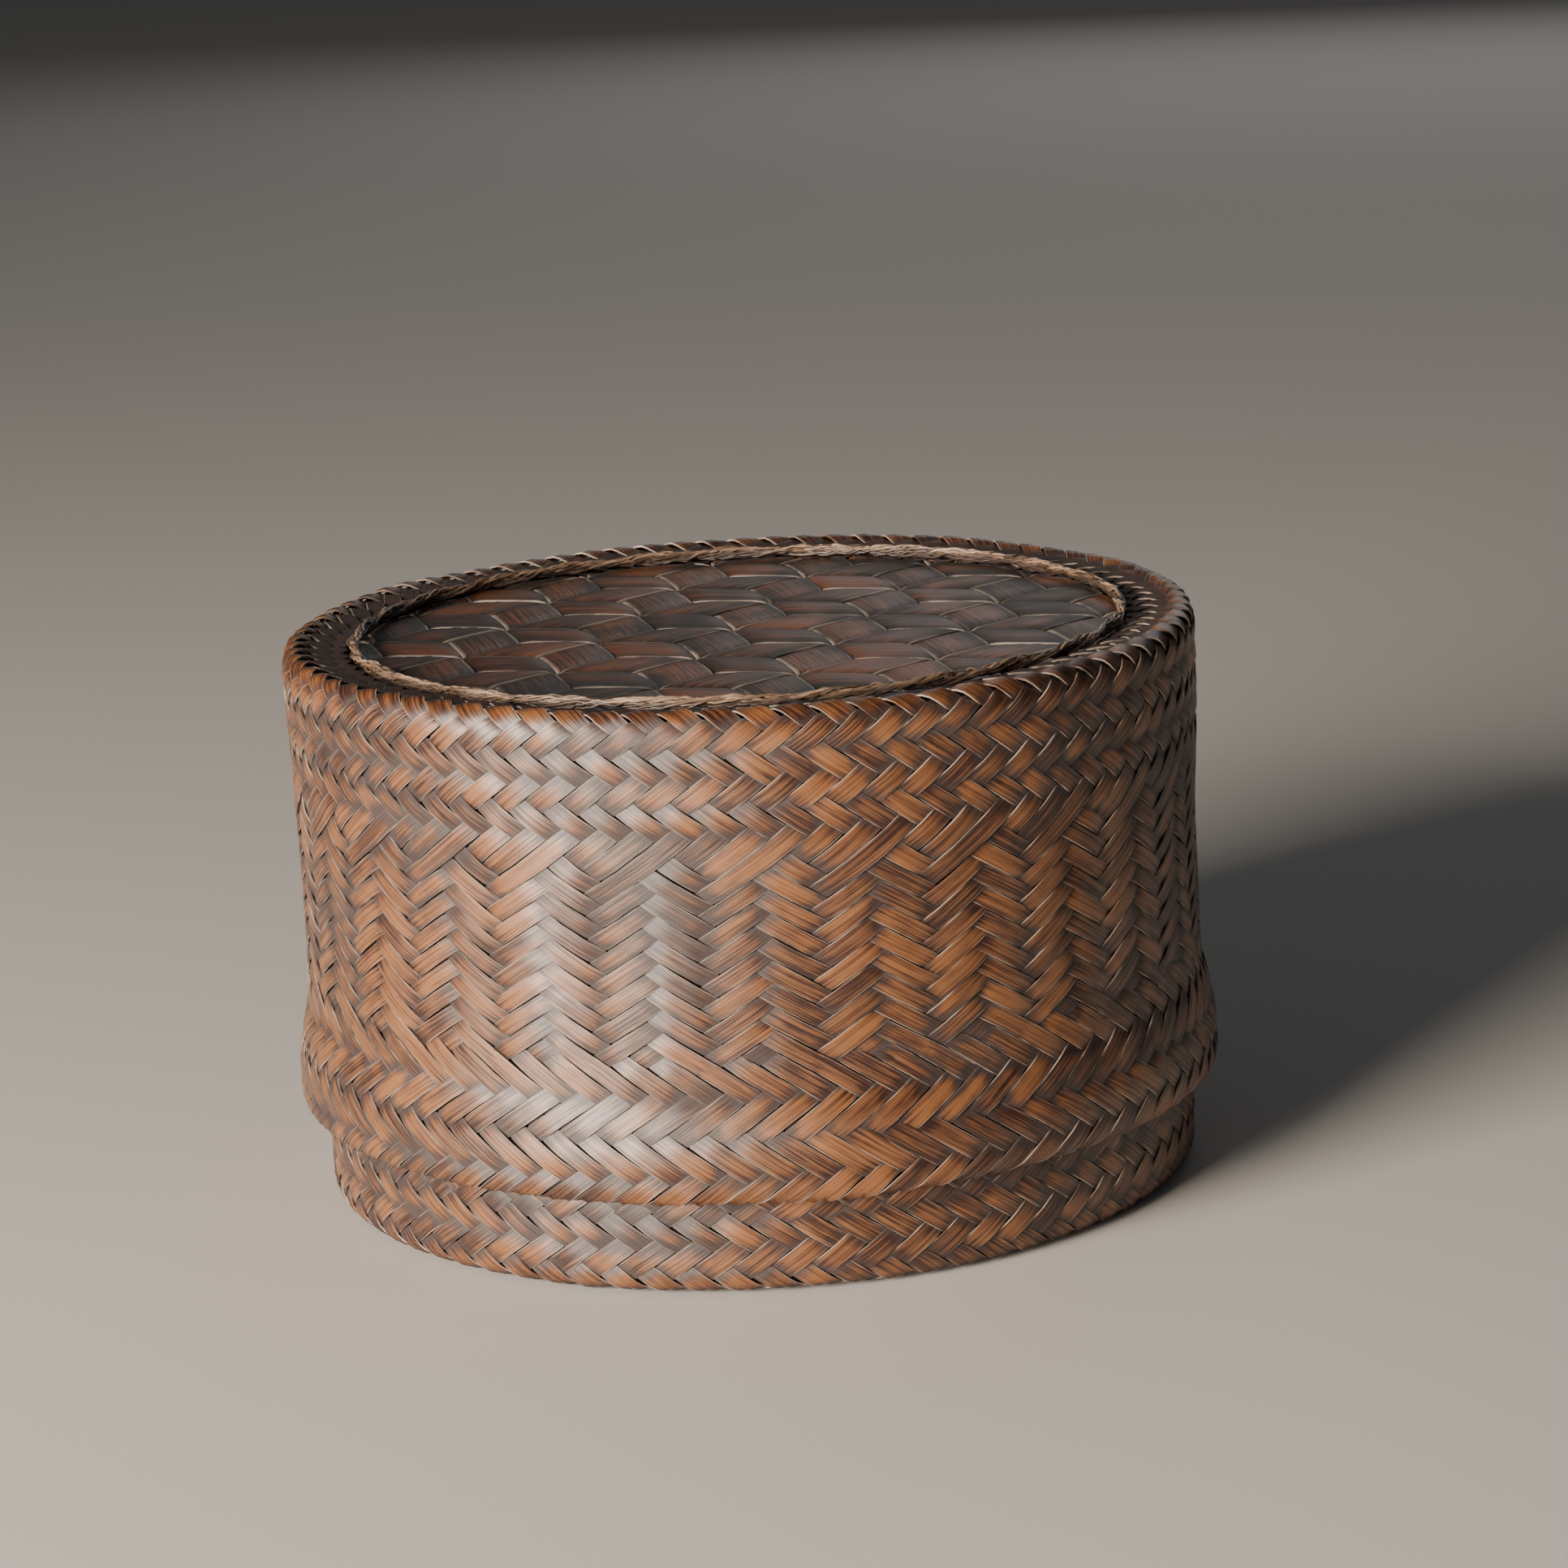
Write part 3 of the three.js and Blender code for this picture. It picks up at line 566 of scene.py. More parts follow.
def bamboo(name, light, dark, grime, wear_and_highlight, polish, seed, fibres=6, spread=1.0, sheltered_row=NOWHERE,
           wax=1.0):
    """Aged split bamboo, hard and waxy: satin where it is rubbed, dull with dust where it isn't.

    A higher polish bares more of the wood. Up to its sheltered_row a splint lies flat on top, where dust
    settles and no hand rubs it. wax is how glossy the skin still is.
    """
    material, tree = start_material(name)
    length, across, lift, tone, row = (
        add(tree, "ShaderNodeAttribute", attribute_name=label).outputs["Fac"]
        for label in ("length", "across", "lift", "tone", "row"))
    lane = add(tree, MATH, [tone, TONE_LANES, seed], operation="MULTIPLY_ADD")
    place = add(tree, "ShaderNodeTexCoord").outputs["Object"]

    streaks = grain(tree, length, across, lane, STREAK_LENGTH, fibres, 3.0)
    blots = grain(tree, length, across, lane, BLOT_LENGTH * spread, 0.8, 2.0)
    regions = add(tree, "ShaderNodeTexNoise", {"Vector": place, "Scale": REGIONS_PER_METRE, "Detail": 2.0})

    # The wood itself: every splint has its own tone, streaked by its fibres. It is also painted darker away
    # from its crowns, most where it sinks under its neighbours, as painted shade.
    wood = add(tree, RANGE, [streaks, 0.36, 0.64, -0.5, 0.3])
    crown = add(tree, RANGE, [lift, 0.0, 0.8, -0.65, -0.2])
    wood = add(tree, MATH, [wood, crown], operation="ADD")
    wood = add(tree, MATH, [tone, 0.75, wood], operation="MULTIPLY_ADD")
    wood = add(tree, MATH, [blots, 0.9, wood], operation="MULTIPLY_ADD", use_clamp=True)
    wood = add(tree, MIX, [wood, colour(dark), colour(light)], data_type="RGBA")

    # Where hands have rubbed the dust off: on the crowns, in the middle of a splint, more in some regions.
    rubbed = add(tree, RANGE, [lift, 0.0, 0.9, -0.1, 0.8])
    aside = add(tree, MATH, [across], operation="ABSOLUTE")
    centred = add(tree, RANGE, [aside, 0.3, 0.95, 0.15, -0.6])
    rubbed = add(tree, MATH, [rubbed, centred], operation="ADD")
    rubbed = add(tree, MATH, [blots, 1.7, rubbed], operation="MULTIPLY_ADD")
    rubbed = add(tree, MATH, [regions, 4.0, rubbed], operation="MULTIPLY_ADD")
    rubbed = add(tree, MATH, [streaks, 0.7, rubbed], operation="MULTIPLY_ADD")
    rubbed = add(tree, RANGE, [rubbed, 2.9 - polish, 3.9 - polish, 0.0, 1.0])
    exposed = add(tree, RANGE, [row, sheltered_row, sheltered_row + 0.9, 0.12, 1.0])
    rubbed = add(tree, MATH, [rubbed, exposed], operation="MULTIPLY")

    # The teeth of the shoulder's edge stand out, so their crowns are always rubbed bare, and this also
    # lightens them as a painted highlight.
    teeth = add(tree, MATH, [row, sheltered_row + 1.4], operation="SUBTRACT")
    teeth = add(tree, MATH, [teeth], operation="ABSOLUTE")
    teeth = add(tree, RANGE, [teeth, 0.9, 1.6, 1.0, 0.0])
    tooth_crown = add(tree, RANGE, [lift, 0.0, 0.6, 0.0, 0.9])
    teeth = add(tree, MATH, [teeth, tooth_crown], operation="MULTIPLY")
    rubbed = add(tree, MATH, [rubbed, teeth], operation="MAXIMUM")
    base = add(tree, MIX, [rubbed, colour(grime), wood], data_type="RGBA")

    # Dirt and painted shade: the colour is darkest in the dives, where a splint sinks under its neighbours.
    # The arrises are worn pale here and there, and lightened where they stand raised, as a painted highlight.
    dive_dirt_and_shade = add(tree, RANGE, [lift, 0.1, -0.4, 0.0, 0.6])
    base = add(tree, MIX, [dive_dirt_and_shade, base, colour(DIVE_DIRT_AND_SHADE)], data_type="RGBA")
    # Wear and painted highlight: the pale colour along raised edges is partly worn wood and partly painted
    # light catching them.
    edge = add(tree, RANGE, [aside, 0.88, 0.97, 0.0, 1.0])
    patches = add(tree, RANGE, [blots, 0.4, 0.58, 0.1, 0.9])
    edge = add(tree, MATH, [edge, patches], operation="MULTIPLY")
    raised = add(tree, RANGE, [lift, -0.1, 0.4, 0.0, 1.0])
    edge = add(tree, MATH, [edge, raised], operation="MULTIPLY")
    base = add(tree, MIX, [edge, base, colour(wear_and_highlight)], data_type="RGBA")

    # The gloss: rubbed wood is smoother, dust is rougher, and the wax is broken up by the fibres.
    rough = add(tree, RANGE, [rubbed, 0.0, 1.0, 0.5, 0.36])
    rough = add(tree, MATH, [streaks, 0.16, rough], operation="MULTIPLY_ADD")
    dusty = add(tree, RANGE, [exposed, 0.12, 1.0, 0.25, 0.0])
    rough = add(tree, MATH, [dusty, rough], operation="ADD")
    coat = add(tree, RANGE, [rubbed, 0.0, 1.0, 0.8 * wax, wax])
    coat = add(tree, MATH, [coat, exposed], operation="MULTIPLY")
    unbroken = add(tree, RANGE, [streaks, 0.36, 0.6, 0.35, 1.0])
    coat = add(tree, MATH, [coat, unbroken], operation="MULTIPLY")
    grooves = add(tree, "ShaderNodeBump", {"Strength": 0.6, "Distance": 0.25 * MM, "Height": streaks})
    shader = add(tree, "ShaderNodeBsdfPrincipled", {
        "Base Color": base, "Roughness": rough, "IOR": BAMBOO_IOR, "Normal": grooves,
        "Coat Weight": coat, "Coat Roughness": 0.42})
    add(tree, "ShaderNodeOutputMaterial", [shader.outputs[0]])
    print(f"{name}: {len(tree.nodes)} nodes")
    return material


# %% The finishes of splints, strips and strands
outer_finish = bamboo("aged_bamboo_splint_rubbed", light="#845530", dark="#2c140d", grime="#382c2a",
                      wear_and_highlight="#a8988a", polish=0.0, seed=1.0, fibres=9, sheltered_row=3.2)
inner_finish = bamboo("aged_bamboo_splint_inside", light="#b98a55", dark="#74492a", grime="#5d4a3c",
                      wear_and_highlight="#b8a085", polish=0.4, seed=2.0)
panel_finish = bamboo("smoked_bamboo_strip", light="#7a4a2c", dark="#2d1d15", grime="#2f2a26",
                      wear_and_highlight="#a3968a", polish=-0.3, seed=3.0, fibres=22, spread=2.2, wax=0.25)
strand_finish = bamboo("rough_bamboo_fibre", light="#a58a72", dark="#4e3a2b", grime="#43352d",
                       wear_and_highlight="#c0ad98", polish=0.3, seed=4.0, fibres=1)
print("finishes:", [m.name for m in bpy.data.materials if "bamboo" in m.name])

# %% [markdown]
# ## The finish of the two hoops
#
# Each mouth is folded round a hoop of thick split bamboo, bent to a circle. Smoke and hands hardly reach it
# in there, so it keeps the pale brown of clean wood. It needs no shape of its own, because the frame's solid
# is already the hoop, and only gets a finish. That solid has no numbers stored on it, so the fibres are
# laid out from the place of each point: the angle round the basket gives the length along the hoop.

# %% The hoops' finish
FIBRE_SPREAD = 2.5 * MM         # six fibres lie side by side in twice this height
HOOP_DARK, HOOP_LIGHT = "#7d5835", "#b98e5a"

hoop_finish, hoop_tree = start_material("split_bamboo_hoop")
spot = add(hoop_tree, "ShaderNodeSeparateXYZ", [add(hoop_tree, "ShaderNodeTexCoord").outputs["Object"]])
around = add(hoop_tree, MATH, [spot.outputs["Y"], spot.outputs["X"]], operation="ARCTAN2")
around = add(hoop_tree, MATH, [around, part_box("lid_mouth_hoop")[1].x], operation="MULTIPLY")
upward = add(hoop_tree, MATH, [spot.outputs["Z"], FIBRE_SPREAD], operation="DIVIDE")
streaks = grain(hoop_tree, around, upward, 0.5, STREAK_LENGTH, 6, 3.0)
share = add(hoop_tree, RANGE, [streaks, 0.35, 0.65, 0.0, 1.0])
wood = add(hoop_tree, MIX, [share, colour(HOOP_DARK), colour(HOOP_LIGHT)], data_type="RGBA")
hoop_shader = add(hoop_tree, "ShaderNodeBsdfPrincipled", {
    "Base Color": wood, "Roughness": 0.5, "IOR": BAMBOO_IOR})
add(hoop_tree, "ShaderNodeOutputMaterial", [hoop_shader.outputs[0]])
for hoop in ("base_mouth_hoop", "lid_mouth_hoop"):
    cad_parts[hoop].material_slots[0].material = hoop_finish
    print(hoop, "is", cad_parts[hoop].material_slots[0].material.name)

# %% [markdown]
# ## Weave the lid
#
# On the real lid about a hundred and sixty splints lean one way or the other, and the tree makes each
# family in one go. The tree's inputs are set by their identifiers, because two inputs may share a name. The
# result is read back as a plain mesh, so that the export finds a mesh and no modifier, and the profile is
# thrown away.

# %% A helper that runs a tree and keeps the result
def grown(name, source, tree, values):
    """Runs a tree on a source object and returns the result as a plain mesh object."""
    modifier = source.modifiers.new(name, "NODES")
    modifier.node_group = tree
    for item in tree.interface.items_tree:
        if item.in_out == "INPUT" and item.name in values:
            modifier[item.identifier] = values[item.name]
    bpy.context.view_layer.update()
    graph = bpy.context.evaluated_depsgraph_get()
    mesh = bpy.data.meshes.new_from_object(source.evaluated_get(graph), depsgraph=graph)
    mesh.name = name
    source.modifiers.clear()
    print(f"{name}: {len(mesh.polygons)} faces")
    return linked(name, mesh)


def weave(name, points, values, material, side_out=1):
    """Both families of one woven layer, as two objects."""
    source = profile_object(name + "_profile", points, side_out)
    families = []
    for label, lean in (("left", 1.0), ("right", -1.0)):
        families.append(grown(f"{name}_{label}", source, weave_tree, {
            **values, "Lean": lean, "Seed": values["Seed"] + (lean > 0), "Material": material}))
    bpy.data.objects.remove(source)
    return families


def fit_weave(families, body, node):
    """Joins the woven layer to its body, in the place of the node that stood for it."""
    for family in families:
        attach(family, body)
        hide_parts(node)


# %% Weave the lid's outer layer
OUTER_SAMPLES, INNER_SAMPLES = 3, 2     # cuts along a splint, for each crossing
TEETH_LIFT = 0.5 * MM                   # how far the teeth stand up
OUTER_VALUES = {"Fill": 0.96, "Thickness": SPLINT_THICKNESS, "Swing": SPLINT_SWING,
                "Wander": 0.5 * MM, "Roll": 0.4 * MM, "Wobble": 1.6 * MM}
LID_ZONES = {"Rows end": float(TOP_END), "Columns end": float(column_end), "Row shift": 2.0,
             "Column shift": 2.0, "Long row shift": 0.0}
LID_SEED, LID_INNER_SEED, BASE_SEED, BASE_INNER_SEED = 3, 13, 23, 33

lid_values = {**OUTER_VALUES, **LID_ZONES, "Splints": LID_SPLINTS, "Crossings": float(lid_rows),
              "Samples": lid_rows * OUTER_SAMPLES, "Teeth": TEETH_LIFT,
              "Teeth row": (TEETH_FROM + TEETH_TO) / 2, "Seed": LID_SEED}
lid_families = weave("lid_outer_splints", lid_profile, lid_values, outer_finish)
fit_weave(lid_families, "lid", "lid_outer_wall")

# %% [markdown]
# ### The lid's inner layer
#
# Behind the outer wall the same splints come back up to the panel, cleaner and paler than outside. They
# hardly show, so they are thinner here, swing less and have fewer cuts along them, and one even step of the
# profile does for every crossing.

# %% Weave the lid's inner layer
INNER_SPLINTS, INNER_ROWS = 79, 44
INNER_CORNER = 3 * MM
INNER_START = 1.5 * MM          # the layer starts this far outside the ring, and as far under its own top
INNER_FLAT = 5 * MM             # and it is flat from this far outside the ring
INNER_END = 1.2 * MM            # it ends this high above the rim
INNER_VALUES = {**OUTER_VALUES, "Swing": 0.3 * MM, "Thickness": 0.4 * MM, "Wobble": 0.3 * MM,
                "Roll": 0.1 * MM}


def lid_inner_side(z):
    return inner_high.x - 0.5 * WALL_LAYER - lid_waist(z)


inner_top = inner_high.z - 0.5 * WALL_LAYER
bend_r, bend_z = lid_inner_side(inner_top) - INNER_CORNER, inner_top - INNER_CORNER
lid_inner_outline = np.vstack([
    [[RING_OUTSIDE + INNER_START, inner_top - INNER_START], [RING_OUTSIDE + INNER_FLAT, inner_top]],
    arc(bend_r, bend_z, INNER_CORNER, INNER_CORNER, 90, 0),
    side(lid_inner_side, bend_z - MM, LID_RIM + INNER_END),
])
inner_length = lengths_along(lid_inner_outline)[-1]
lid_inner_profile = step_out(lid_inner_outline, [(0, 0), (INNER_ROWS, inner_length)])
lid_inner_values = {**INNER_VALUES, **LID_ZONES, "Splints": INNER_SPLINTS, "Crossings": float(INNER_ROWS),
                    "Samples": INNER_ROWS * INNER_SAMPLES, "Seed": LID_INNER_SEED}
lid_inner_families = weave("lid_inner_splints", lid_inner_profile, lid_inner_values, inner_finish)
fit_weave(lid_inner_families, "lid", "lid_inner_wall")

# %% [markdown]
# ## Weave the base
#
# The base is woven the same way, from the ring round its bottom outward: over the rounded lower edge, up the
# band that shows under the lid, in a little where the lid slides over it, and up to its mouth.

# %% Weave the base's outer layer
BASE_SPLINTS = 75
BASE_CORNER, BASE_MOUTH = 3 * MM, 1.5 * MM  # how wide the layer bends at the floor, and at the mouth
BASE_ROWS, BASE_COLUMNS, BASE_MOUTH_ROWS = 10, 21, 12
FLOOR_CLEARANCE = 0.35 * MM                 # keeps the crowns of the bottom above the ground
BASE_START = 0.5 * MM                       # the layer starts this far outside the ring
BASE_WOBBLE = 0.8 * MM
base_floor = base_low.z + LAYER_DEPTH + FLOOR_CLEARANCE
base_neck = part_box("base_mouth_hoop")[1].x + FIT_GAP + WALL_LAYER
BAND_TOP, TAPER = 20 * MM, 5 * MM
base_rows = BASE_ROWS + BASE_COLUMNS + BASE_MOUTH_ROWS
BASE_ZONES = {"Rows end": float(BASE_ROWS), "Columns end": float(BASE_ROWS + BASE_COLUMNS),
              "Row shift": 1.0, "Column shift": 2.0, "Long row shift": 0.0}


def base_side(z):
    return base_neck - LAYER_DEPTH + (BAND_RADIUS - base_neck) * (1 - smooth((z - BAND_TOP) / TAPER))


corner_r = BAND_RADIUS - LAYER_DEPTH - BASE_CORNER
mouth_r, mouth_z = base_neck - LAYER_DEPTH - BASE_MOUTH, BASE_RIM - LAYER_DEPTH - BASE_MOUTH
base_outline = np.vstack([
    [[base_ring_high.x + BASE_START, base_floor], [corner_r - MM, base_floor]],
    arc(corner_r, base_floor + BASE_CORNER, BASE_CORNER, BASE_CORNER, -90, 0),
    side(base_side, base_floor + BASE_CORNER + MM, mouth_z),
    arc(mouth_r, mouth_z, BASE_MOUTH, BASE_MOUTH, 10, 100),
])
base_length = lengths_along(base_outline)[-1]
band_length = length_at(base_outline, lambda p: p[:, 1] > BAND_TOP)
base_profile = step_out(base_outline, [(0, 0), (BASE_ROWS, band_length), (base_rows, base_length)])
base_values = {**OUTER_VALUES, **BASE_ZONES, "Wobble": BASE_WOBBLE, "Splints": BASE_SPLINTS,
               "Crossings": float(base_rows), "Samples": base_rows * OUTER_SAMPLES, "Seed": BASE_SEED}
base_families = weave("base_outer_splints", base_profile, base_values, outer_finish, -1)
fit_weave(base_families, "base", "base_outer_wall")

# %% [markdown]
# ### The base's inner layer
#
# It follows the outer layer from inside, except near the mouth: the hoop lies between the two, so there the
# inner layer swells inwards over it, on a long slope, because a stiff splint can't bend sharply.

# %% Weave the base's inner layer
base_inner_low, base_inner_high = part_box("base_inner_wall")
hoop_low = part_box("base_mouth_hoop")[0]
HOOP_DEPTH = 2 * MM
SWELL = 18 * MM                 # the length of that slope
BASE_INNER_BEND = 2 * MM
BASE_INNER_START = 1.6 * MM     # the layer starts this far outside the ring
BASE_INNER_END = 0.3 * MM       # and ends this far below its wall's top


def base_inner_side(z):
    behind = base_side(z) + LAYER_DEPTH - WALL_LAYER - FIT_GAP - 0.5 * WALL_LAYER
    return behind - (HOOP_DEPTH + FIT_GAP) * smooth((z - hoop_low.z + FIT_GAP + SWELL) / SWELL)


inner_floor = base_inner_low.z + 0.5 * WALL_LAYER
bend_r = BAND_RADIUS - WALL_LAYER - FIT_GAP - 0.5 * WALL_LAYER - BASE_INNER_BEND
bend_z = inner_floor + BASE_INNER_BEND
base_inner_outline = np.vstack([
    [[base_ring_high.x + BASE_INNER_START, inner_floor], [bend_r - MM, inner_floor]],
    arc(bend_r, bend_z, BASE_INNER_BEND, BASE_INNER_BEND, -90, 0),
    side(base_inner_side, bend_z + MM, base_inner_high.z - BASE_INNER_END),
])
base_inner_length = lengths_along(base_inner_outline)[-1]
base_inner_profile = step_out(base_inner_outline, [(0, 0), (base_rows, base_inner_length)])
base_inner_values = {**INNER_VALUES, **BASE_ZONES, "Splints": BASE_SPLINTS, "Crossings": float(base_rows),
                     "Samples": base_rows * INNER_SAMPLES, "Seed": BASE_INNER_SEED}
base_inner_families = weave("base_inner_splints", base_inner_profile, base_inner_values, inner_finish, -1)
fit_weave(base_inner_families, "base", "base_inner_wall")

# %% [markdown]
# ## The three-way panels
#
# The flat ends are woven from wide strips in three directions, 120 degrees apart. The strips' edges lie on
# three sets of parallel lines that cut the panel into triangles, and in every triangle three strips lie one
# on another. The weaver's rule is the same everywhere: each set passes over the one before it in turn, and
# which set is uppermost changes so that two triangles together show one diamond of the same strip. The eye
# sees tumbling blocks.
#
# A stiff strip doesn't step from one level to the next, it slopes over a few millimetres. So the height of
# a point is the average of the levels a short way to either side of it, along its own strip.

# %% The strips' sizes and directions
STRIP_PITCH = 15.2 * MM
STRIP_FILL = 0.96               # how much of its pitch a strip fills
STRIP_THICKNESS = 0.45 * MM
LEVEL_STEP = 0.8 * MM           # from one of the three levels to the next
BLEND = 3.6 * MM                # a strip's slope from one level to the next reaches this far either way
STRIP_CROWN = 0.45 * MM         # how far a strip's middle stands above its edges
PANEL_TURN = math.radians(44)
PANEL_SHIFT = np.array([-1.0, 2.0]) * MM
PANEL_EDGE = base_panel_high.x
EDGE_MARGIN = 0.8 * MM          # a strip cut along its length stays this far inside the panel's edge
SAMPLE_STEP = 1.6 * MM
BLEND_SAMPLES = 15
STRIP_TILT = 0.1 * MM           # how far one edge may stand above the middle
LID_PANEL_SEED, BASE_PANEL_SEED = 50, 60
# Places across a strip from edge to edge, closest together where it bends most.
LANES = np.array([-1.0, -0.86, -0.6, -0.25, 0.25, 0.6, 0.86, 1.0])

set_turn = PANEL_TURN + np.radians([0, 120, 240])
set_along = np.column_stack([np.cos(set_turn), np.sin(set_turn)])
set_across = np.column_stack([-np.sin(set_turn), np.cos(set_turn)])
print("strips run at", [round(math.degrees(a) % 360) for a in set_turn], "degrees")

# %% Which strip is on top, and how high each one lies
def top_set(spots):
    """Which of the three sets is uppermost at each spot."""
    floors = np.floor(spots @ set_across.T / STRIP_PITCH).astype(int)
    up = floors.sum(axis=1) == -1
    opposite = np.zeros(len(spots), int)
    for i in (2, 1, 0):
        corners = floors + np.where(up[:, None], np.eye(3, dtype=int)[i], 1 - np.eye(3, dtype=int)[i])
        opposite[(corners[:, 0] - corners[:, 1]) % 3 == 0] = i
    return (opposite + 1) % 3


def level_at(which, spots):
    """The height of one set at each spot, 1, 0 or -1, blended along the strip."""
    total, weights = 0, 0
    for away in np.linspace(-1, 1, BLEND_SAMPLES):
        weight = 1 + math.cos(math.pi * away)
        tops = top_set(spots + set_along[which] * away * BLEND)
        total = total + weight * np.array([1, -1, 0])[(which - tops) % 3]
        weights += weight
    return total / weights


print("on top at the middle: set", "abc"[top_set(np.zeros((1, 2)))[0]])

# %% A helper that makes all strips of one set
def panel_strips(name, which, middle_z, seed):
    """All strips of one set as one object: closed strips, cut off round the panel's edge."""
    luck = np.random.default_rng(seed)
    shift = PANEL_SHIFT @ set_across[which]
    first = math.ceil((-PANEL_EDGE - shift) / STRIP_PITCH - 0.9)
    last = math.floor((PANEL_EDGE - shift) / STRIP_PITCH - 0.1)
    points, faces, values = [], [], {"length": [], "across": [], "lift": [], "tone": []}
    for strip in range(first, last + 1):
        middle = (strip + 0.5) * STRIP_PITCH
        half = 0.5 * STRIP_PITCH * STRIP_FILL * luck.uniform(0.96, 1.0)
        limit = PANEL_EDGE - EDGE_MARGIN
        lines = np.clip(middle + LANES * half, -limit - shift, limit - shift)
        reach = np.sqrt(PANEL_EDGE ** 2 - (lines + shift) ** 2)
        count = max(int(2 * reach.max() / SAMPLE_STEP), 4)
        offset = PANEL_SHIFT @ set_along[which]
        run = np.linspace(-1, 1, count)[:, None] * reach[None, :] - offset
        spots = run[..., None] * set_along[which] + lines[None, :, None] * set_across[which]
        lift = level_at(which, spots.reshape(-1, 2)).reshape(run.shape)
        crown = STRIP_CROWN * (1 - LANES ** 2) * luck.uniform(0.6, 1.2)
        tilt = luck.uniform(-STRIP_TILT, STRIP_TILT) * LANES
        height = middle_z + lift * LEVEL_STEP + crown + tilt - 0.5 * STRIP_CROWN
        start, wide = len(points), len(LANES)
        for i in range(count):
            for k in [*range(wide), *range(wide - 1, -1, -1)]:
                above = 0.5 if len(points) % (2 * wide) < wide else -0.5
                points.append((*(spots[i, k] + PANEL_SHIFT), height[i, k] + above * STRIP_THICKNESS))
                for label, value in (("length", run[i, k]), ("across", LANES[k]), ("lift", lift[i, k]),
                                     ("tone", (strip - first + 0.37 * which) * 0.381 % 1.0)):
                    values[label].append(value)
        size = 2 * wide
        for i in range(count - 1):
            for k in range(size):
                here, beside = start + i * size + k, start + i * size + (k + 1) % size
                faces.append((here, beside, beside + size, here + size))
        for k in range(wide - 1):
            for ring, order in ((0, 1), (count - 1, -1)):
                at = start + ring * size
                faces.append((at + k, at + size - 1 - k, at + size - 2 - k, at + k + 1)[::order])
    mesh = bpy.data.meshes.new(name)
    mesh.from_pydata([tuple(p) for p in points], [], faces)
    for label, numbers in values.items():
        mesh.attributes.new(label, "FLOAT", "POINT").data.foreach_set("value", numbers)
    mesh.shade_smooth()
    mesh.set_sharp_from_angle(angle=math.radians(50))
    mesh.materials.append(panel_finish)
    print(f"{name}: {last - first + 1} strips, {len(faces)} faces")
    return linked(name, mesh)


# %% Lay both panels
strip_boxes = [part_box(f"lid_panel_strip_{letter}06") for letter in "abc"]
lid_panel_z = 0.5 * (min(low.z for low, high in strip_boxes) + max(high.z for low, high in strip_boxes))
base_panel_z = 0.5 * (base_panel_low.z + base_panel_high.z)
for which, letter in enumerate("abc"):
    panel = panel_strips(f"lid_panel_set_{letter}", which, lid_panel_z, LID_PANEL_SEED + which)
    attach(panel, "lid")
    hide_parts(*(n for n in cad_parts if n.startswith(f"lid_panel_strip_{letter}")))
    panel = panel_strips(f"base_panel_set_{letter}", which, base_panel_z, BASE_PANEL_SEED + which)
    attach(panel, "base")
    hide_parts("base_panel")

# %% [markdown]
# ## The binding rings
#
# A panel is held in its wall by a ring of two strands that twist round each other. Each strand is a loose
# handful of scraped bamboo fibres, never combed, so it is rough and some fibres stand off it. The tree
# makes one closed fibre for each point, winds it round the strand, and winds the strand round the ring.

# %% The tree that twines one strand
strand_tree, given, result = tree_with("twined_strand", [
    ("Fibres", "Int"), ("Steps", "Int"), ("Ring radius", "Float"), ("Height", "Float"),
    ("Strand offset", "Float"), ("Strand radius", "Float"), ("Fibre radius", "Float"), ("Twists", "Float"),
    ("Winds", "Float"), ("Half turn", "Float"), ("Roughness", "Float"), ("Seed", "Int"),
    ("Material", "Material")], [("Geometry", "Geometry")])
S = strand_tree
CIRCLE, FIBRE_SIDES = "GeometryNodeCurvePrimitiveCircle", 6
index = add(S, "GeometryNodeInputIndex")
points = add(S, "GeometryNodePoints", [given["Fibres"]])
numbered = add(S, STORE, {"Geometry": points, "Name": "fibre", "Value": index},
               data_type="FLOAT", domain="POINT")
circle = add(S, CIRCLE, {"Resolution": given["Steps"], "Radius": 1.0}, mode="RADIUS")
circles = add(S, "GeometryNodeInstanceOnPoints", {"Points": numbered, "Instance": circle.outputs["Curve"]})
circles = add(S, "GeometryNodeRealizeInstances", [circles])
place = add(S, "ShaderNodeSeparateXYZ", [add(S, "GeometryNodeInputPosition")])
turn = add(S, MATH, [place.outputs["Y"], place.outputs["X"]], operation="ARCTAN2")
fibre = add(S, READ, {"Name": "fibre"}, data_type="FLOAT")
share = add(S, MATH, [fibre, given["Fibres"]], operation="DIVIDE")
print("rings:", len(S.nodes), "nodes so far")

# %% Wind each fibre round its strand, and each strand round the ring
# The second strand starts half a turn from the first. Each fibre strays from its path by its own luck.
FIBRE_LANE = 3.7                        # far enough that two fibres share no luck
STRAYS_ROUND, STRAYS_UP = 14.0, 19.0    # how often a fibre strays sideways and upwards, in a ring's radius

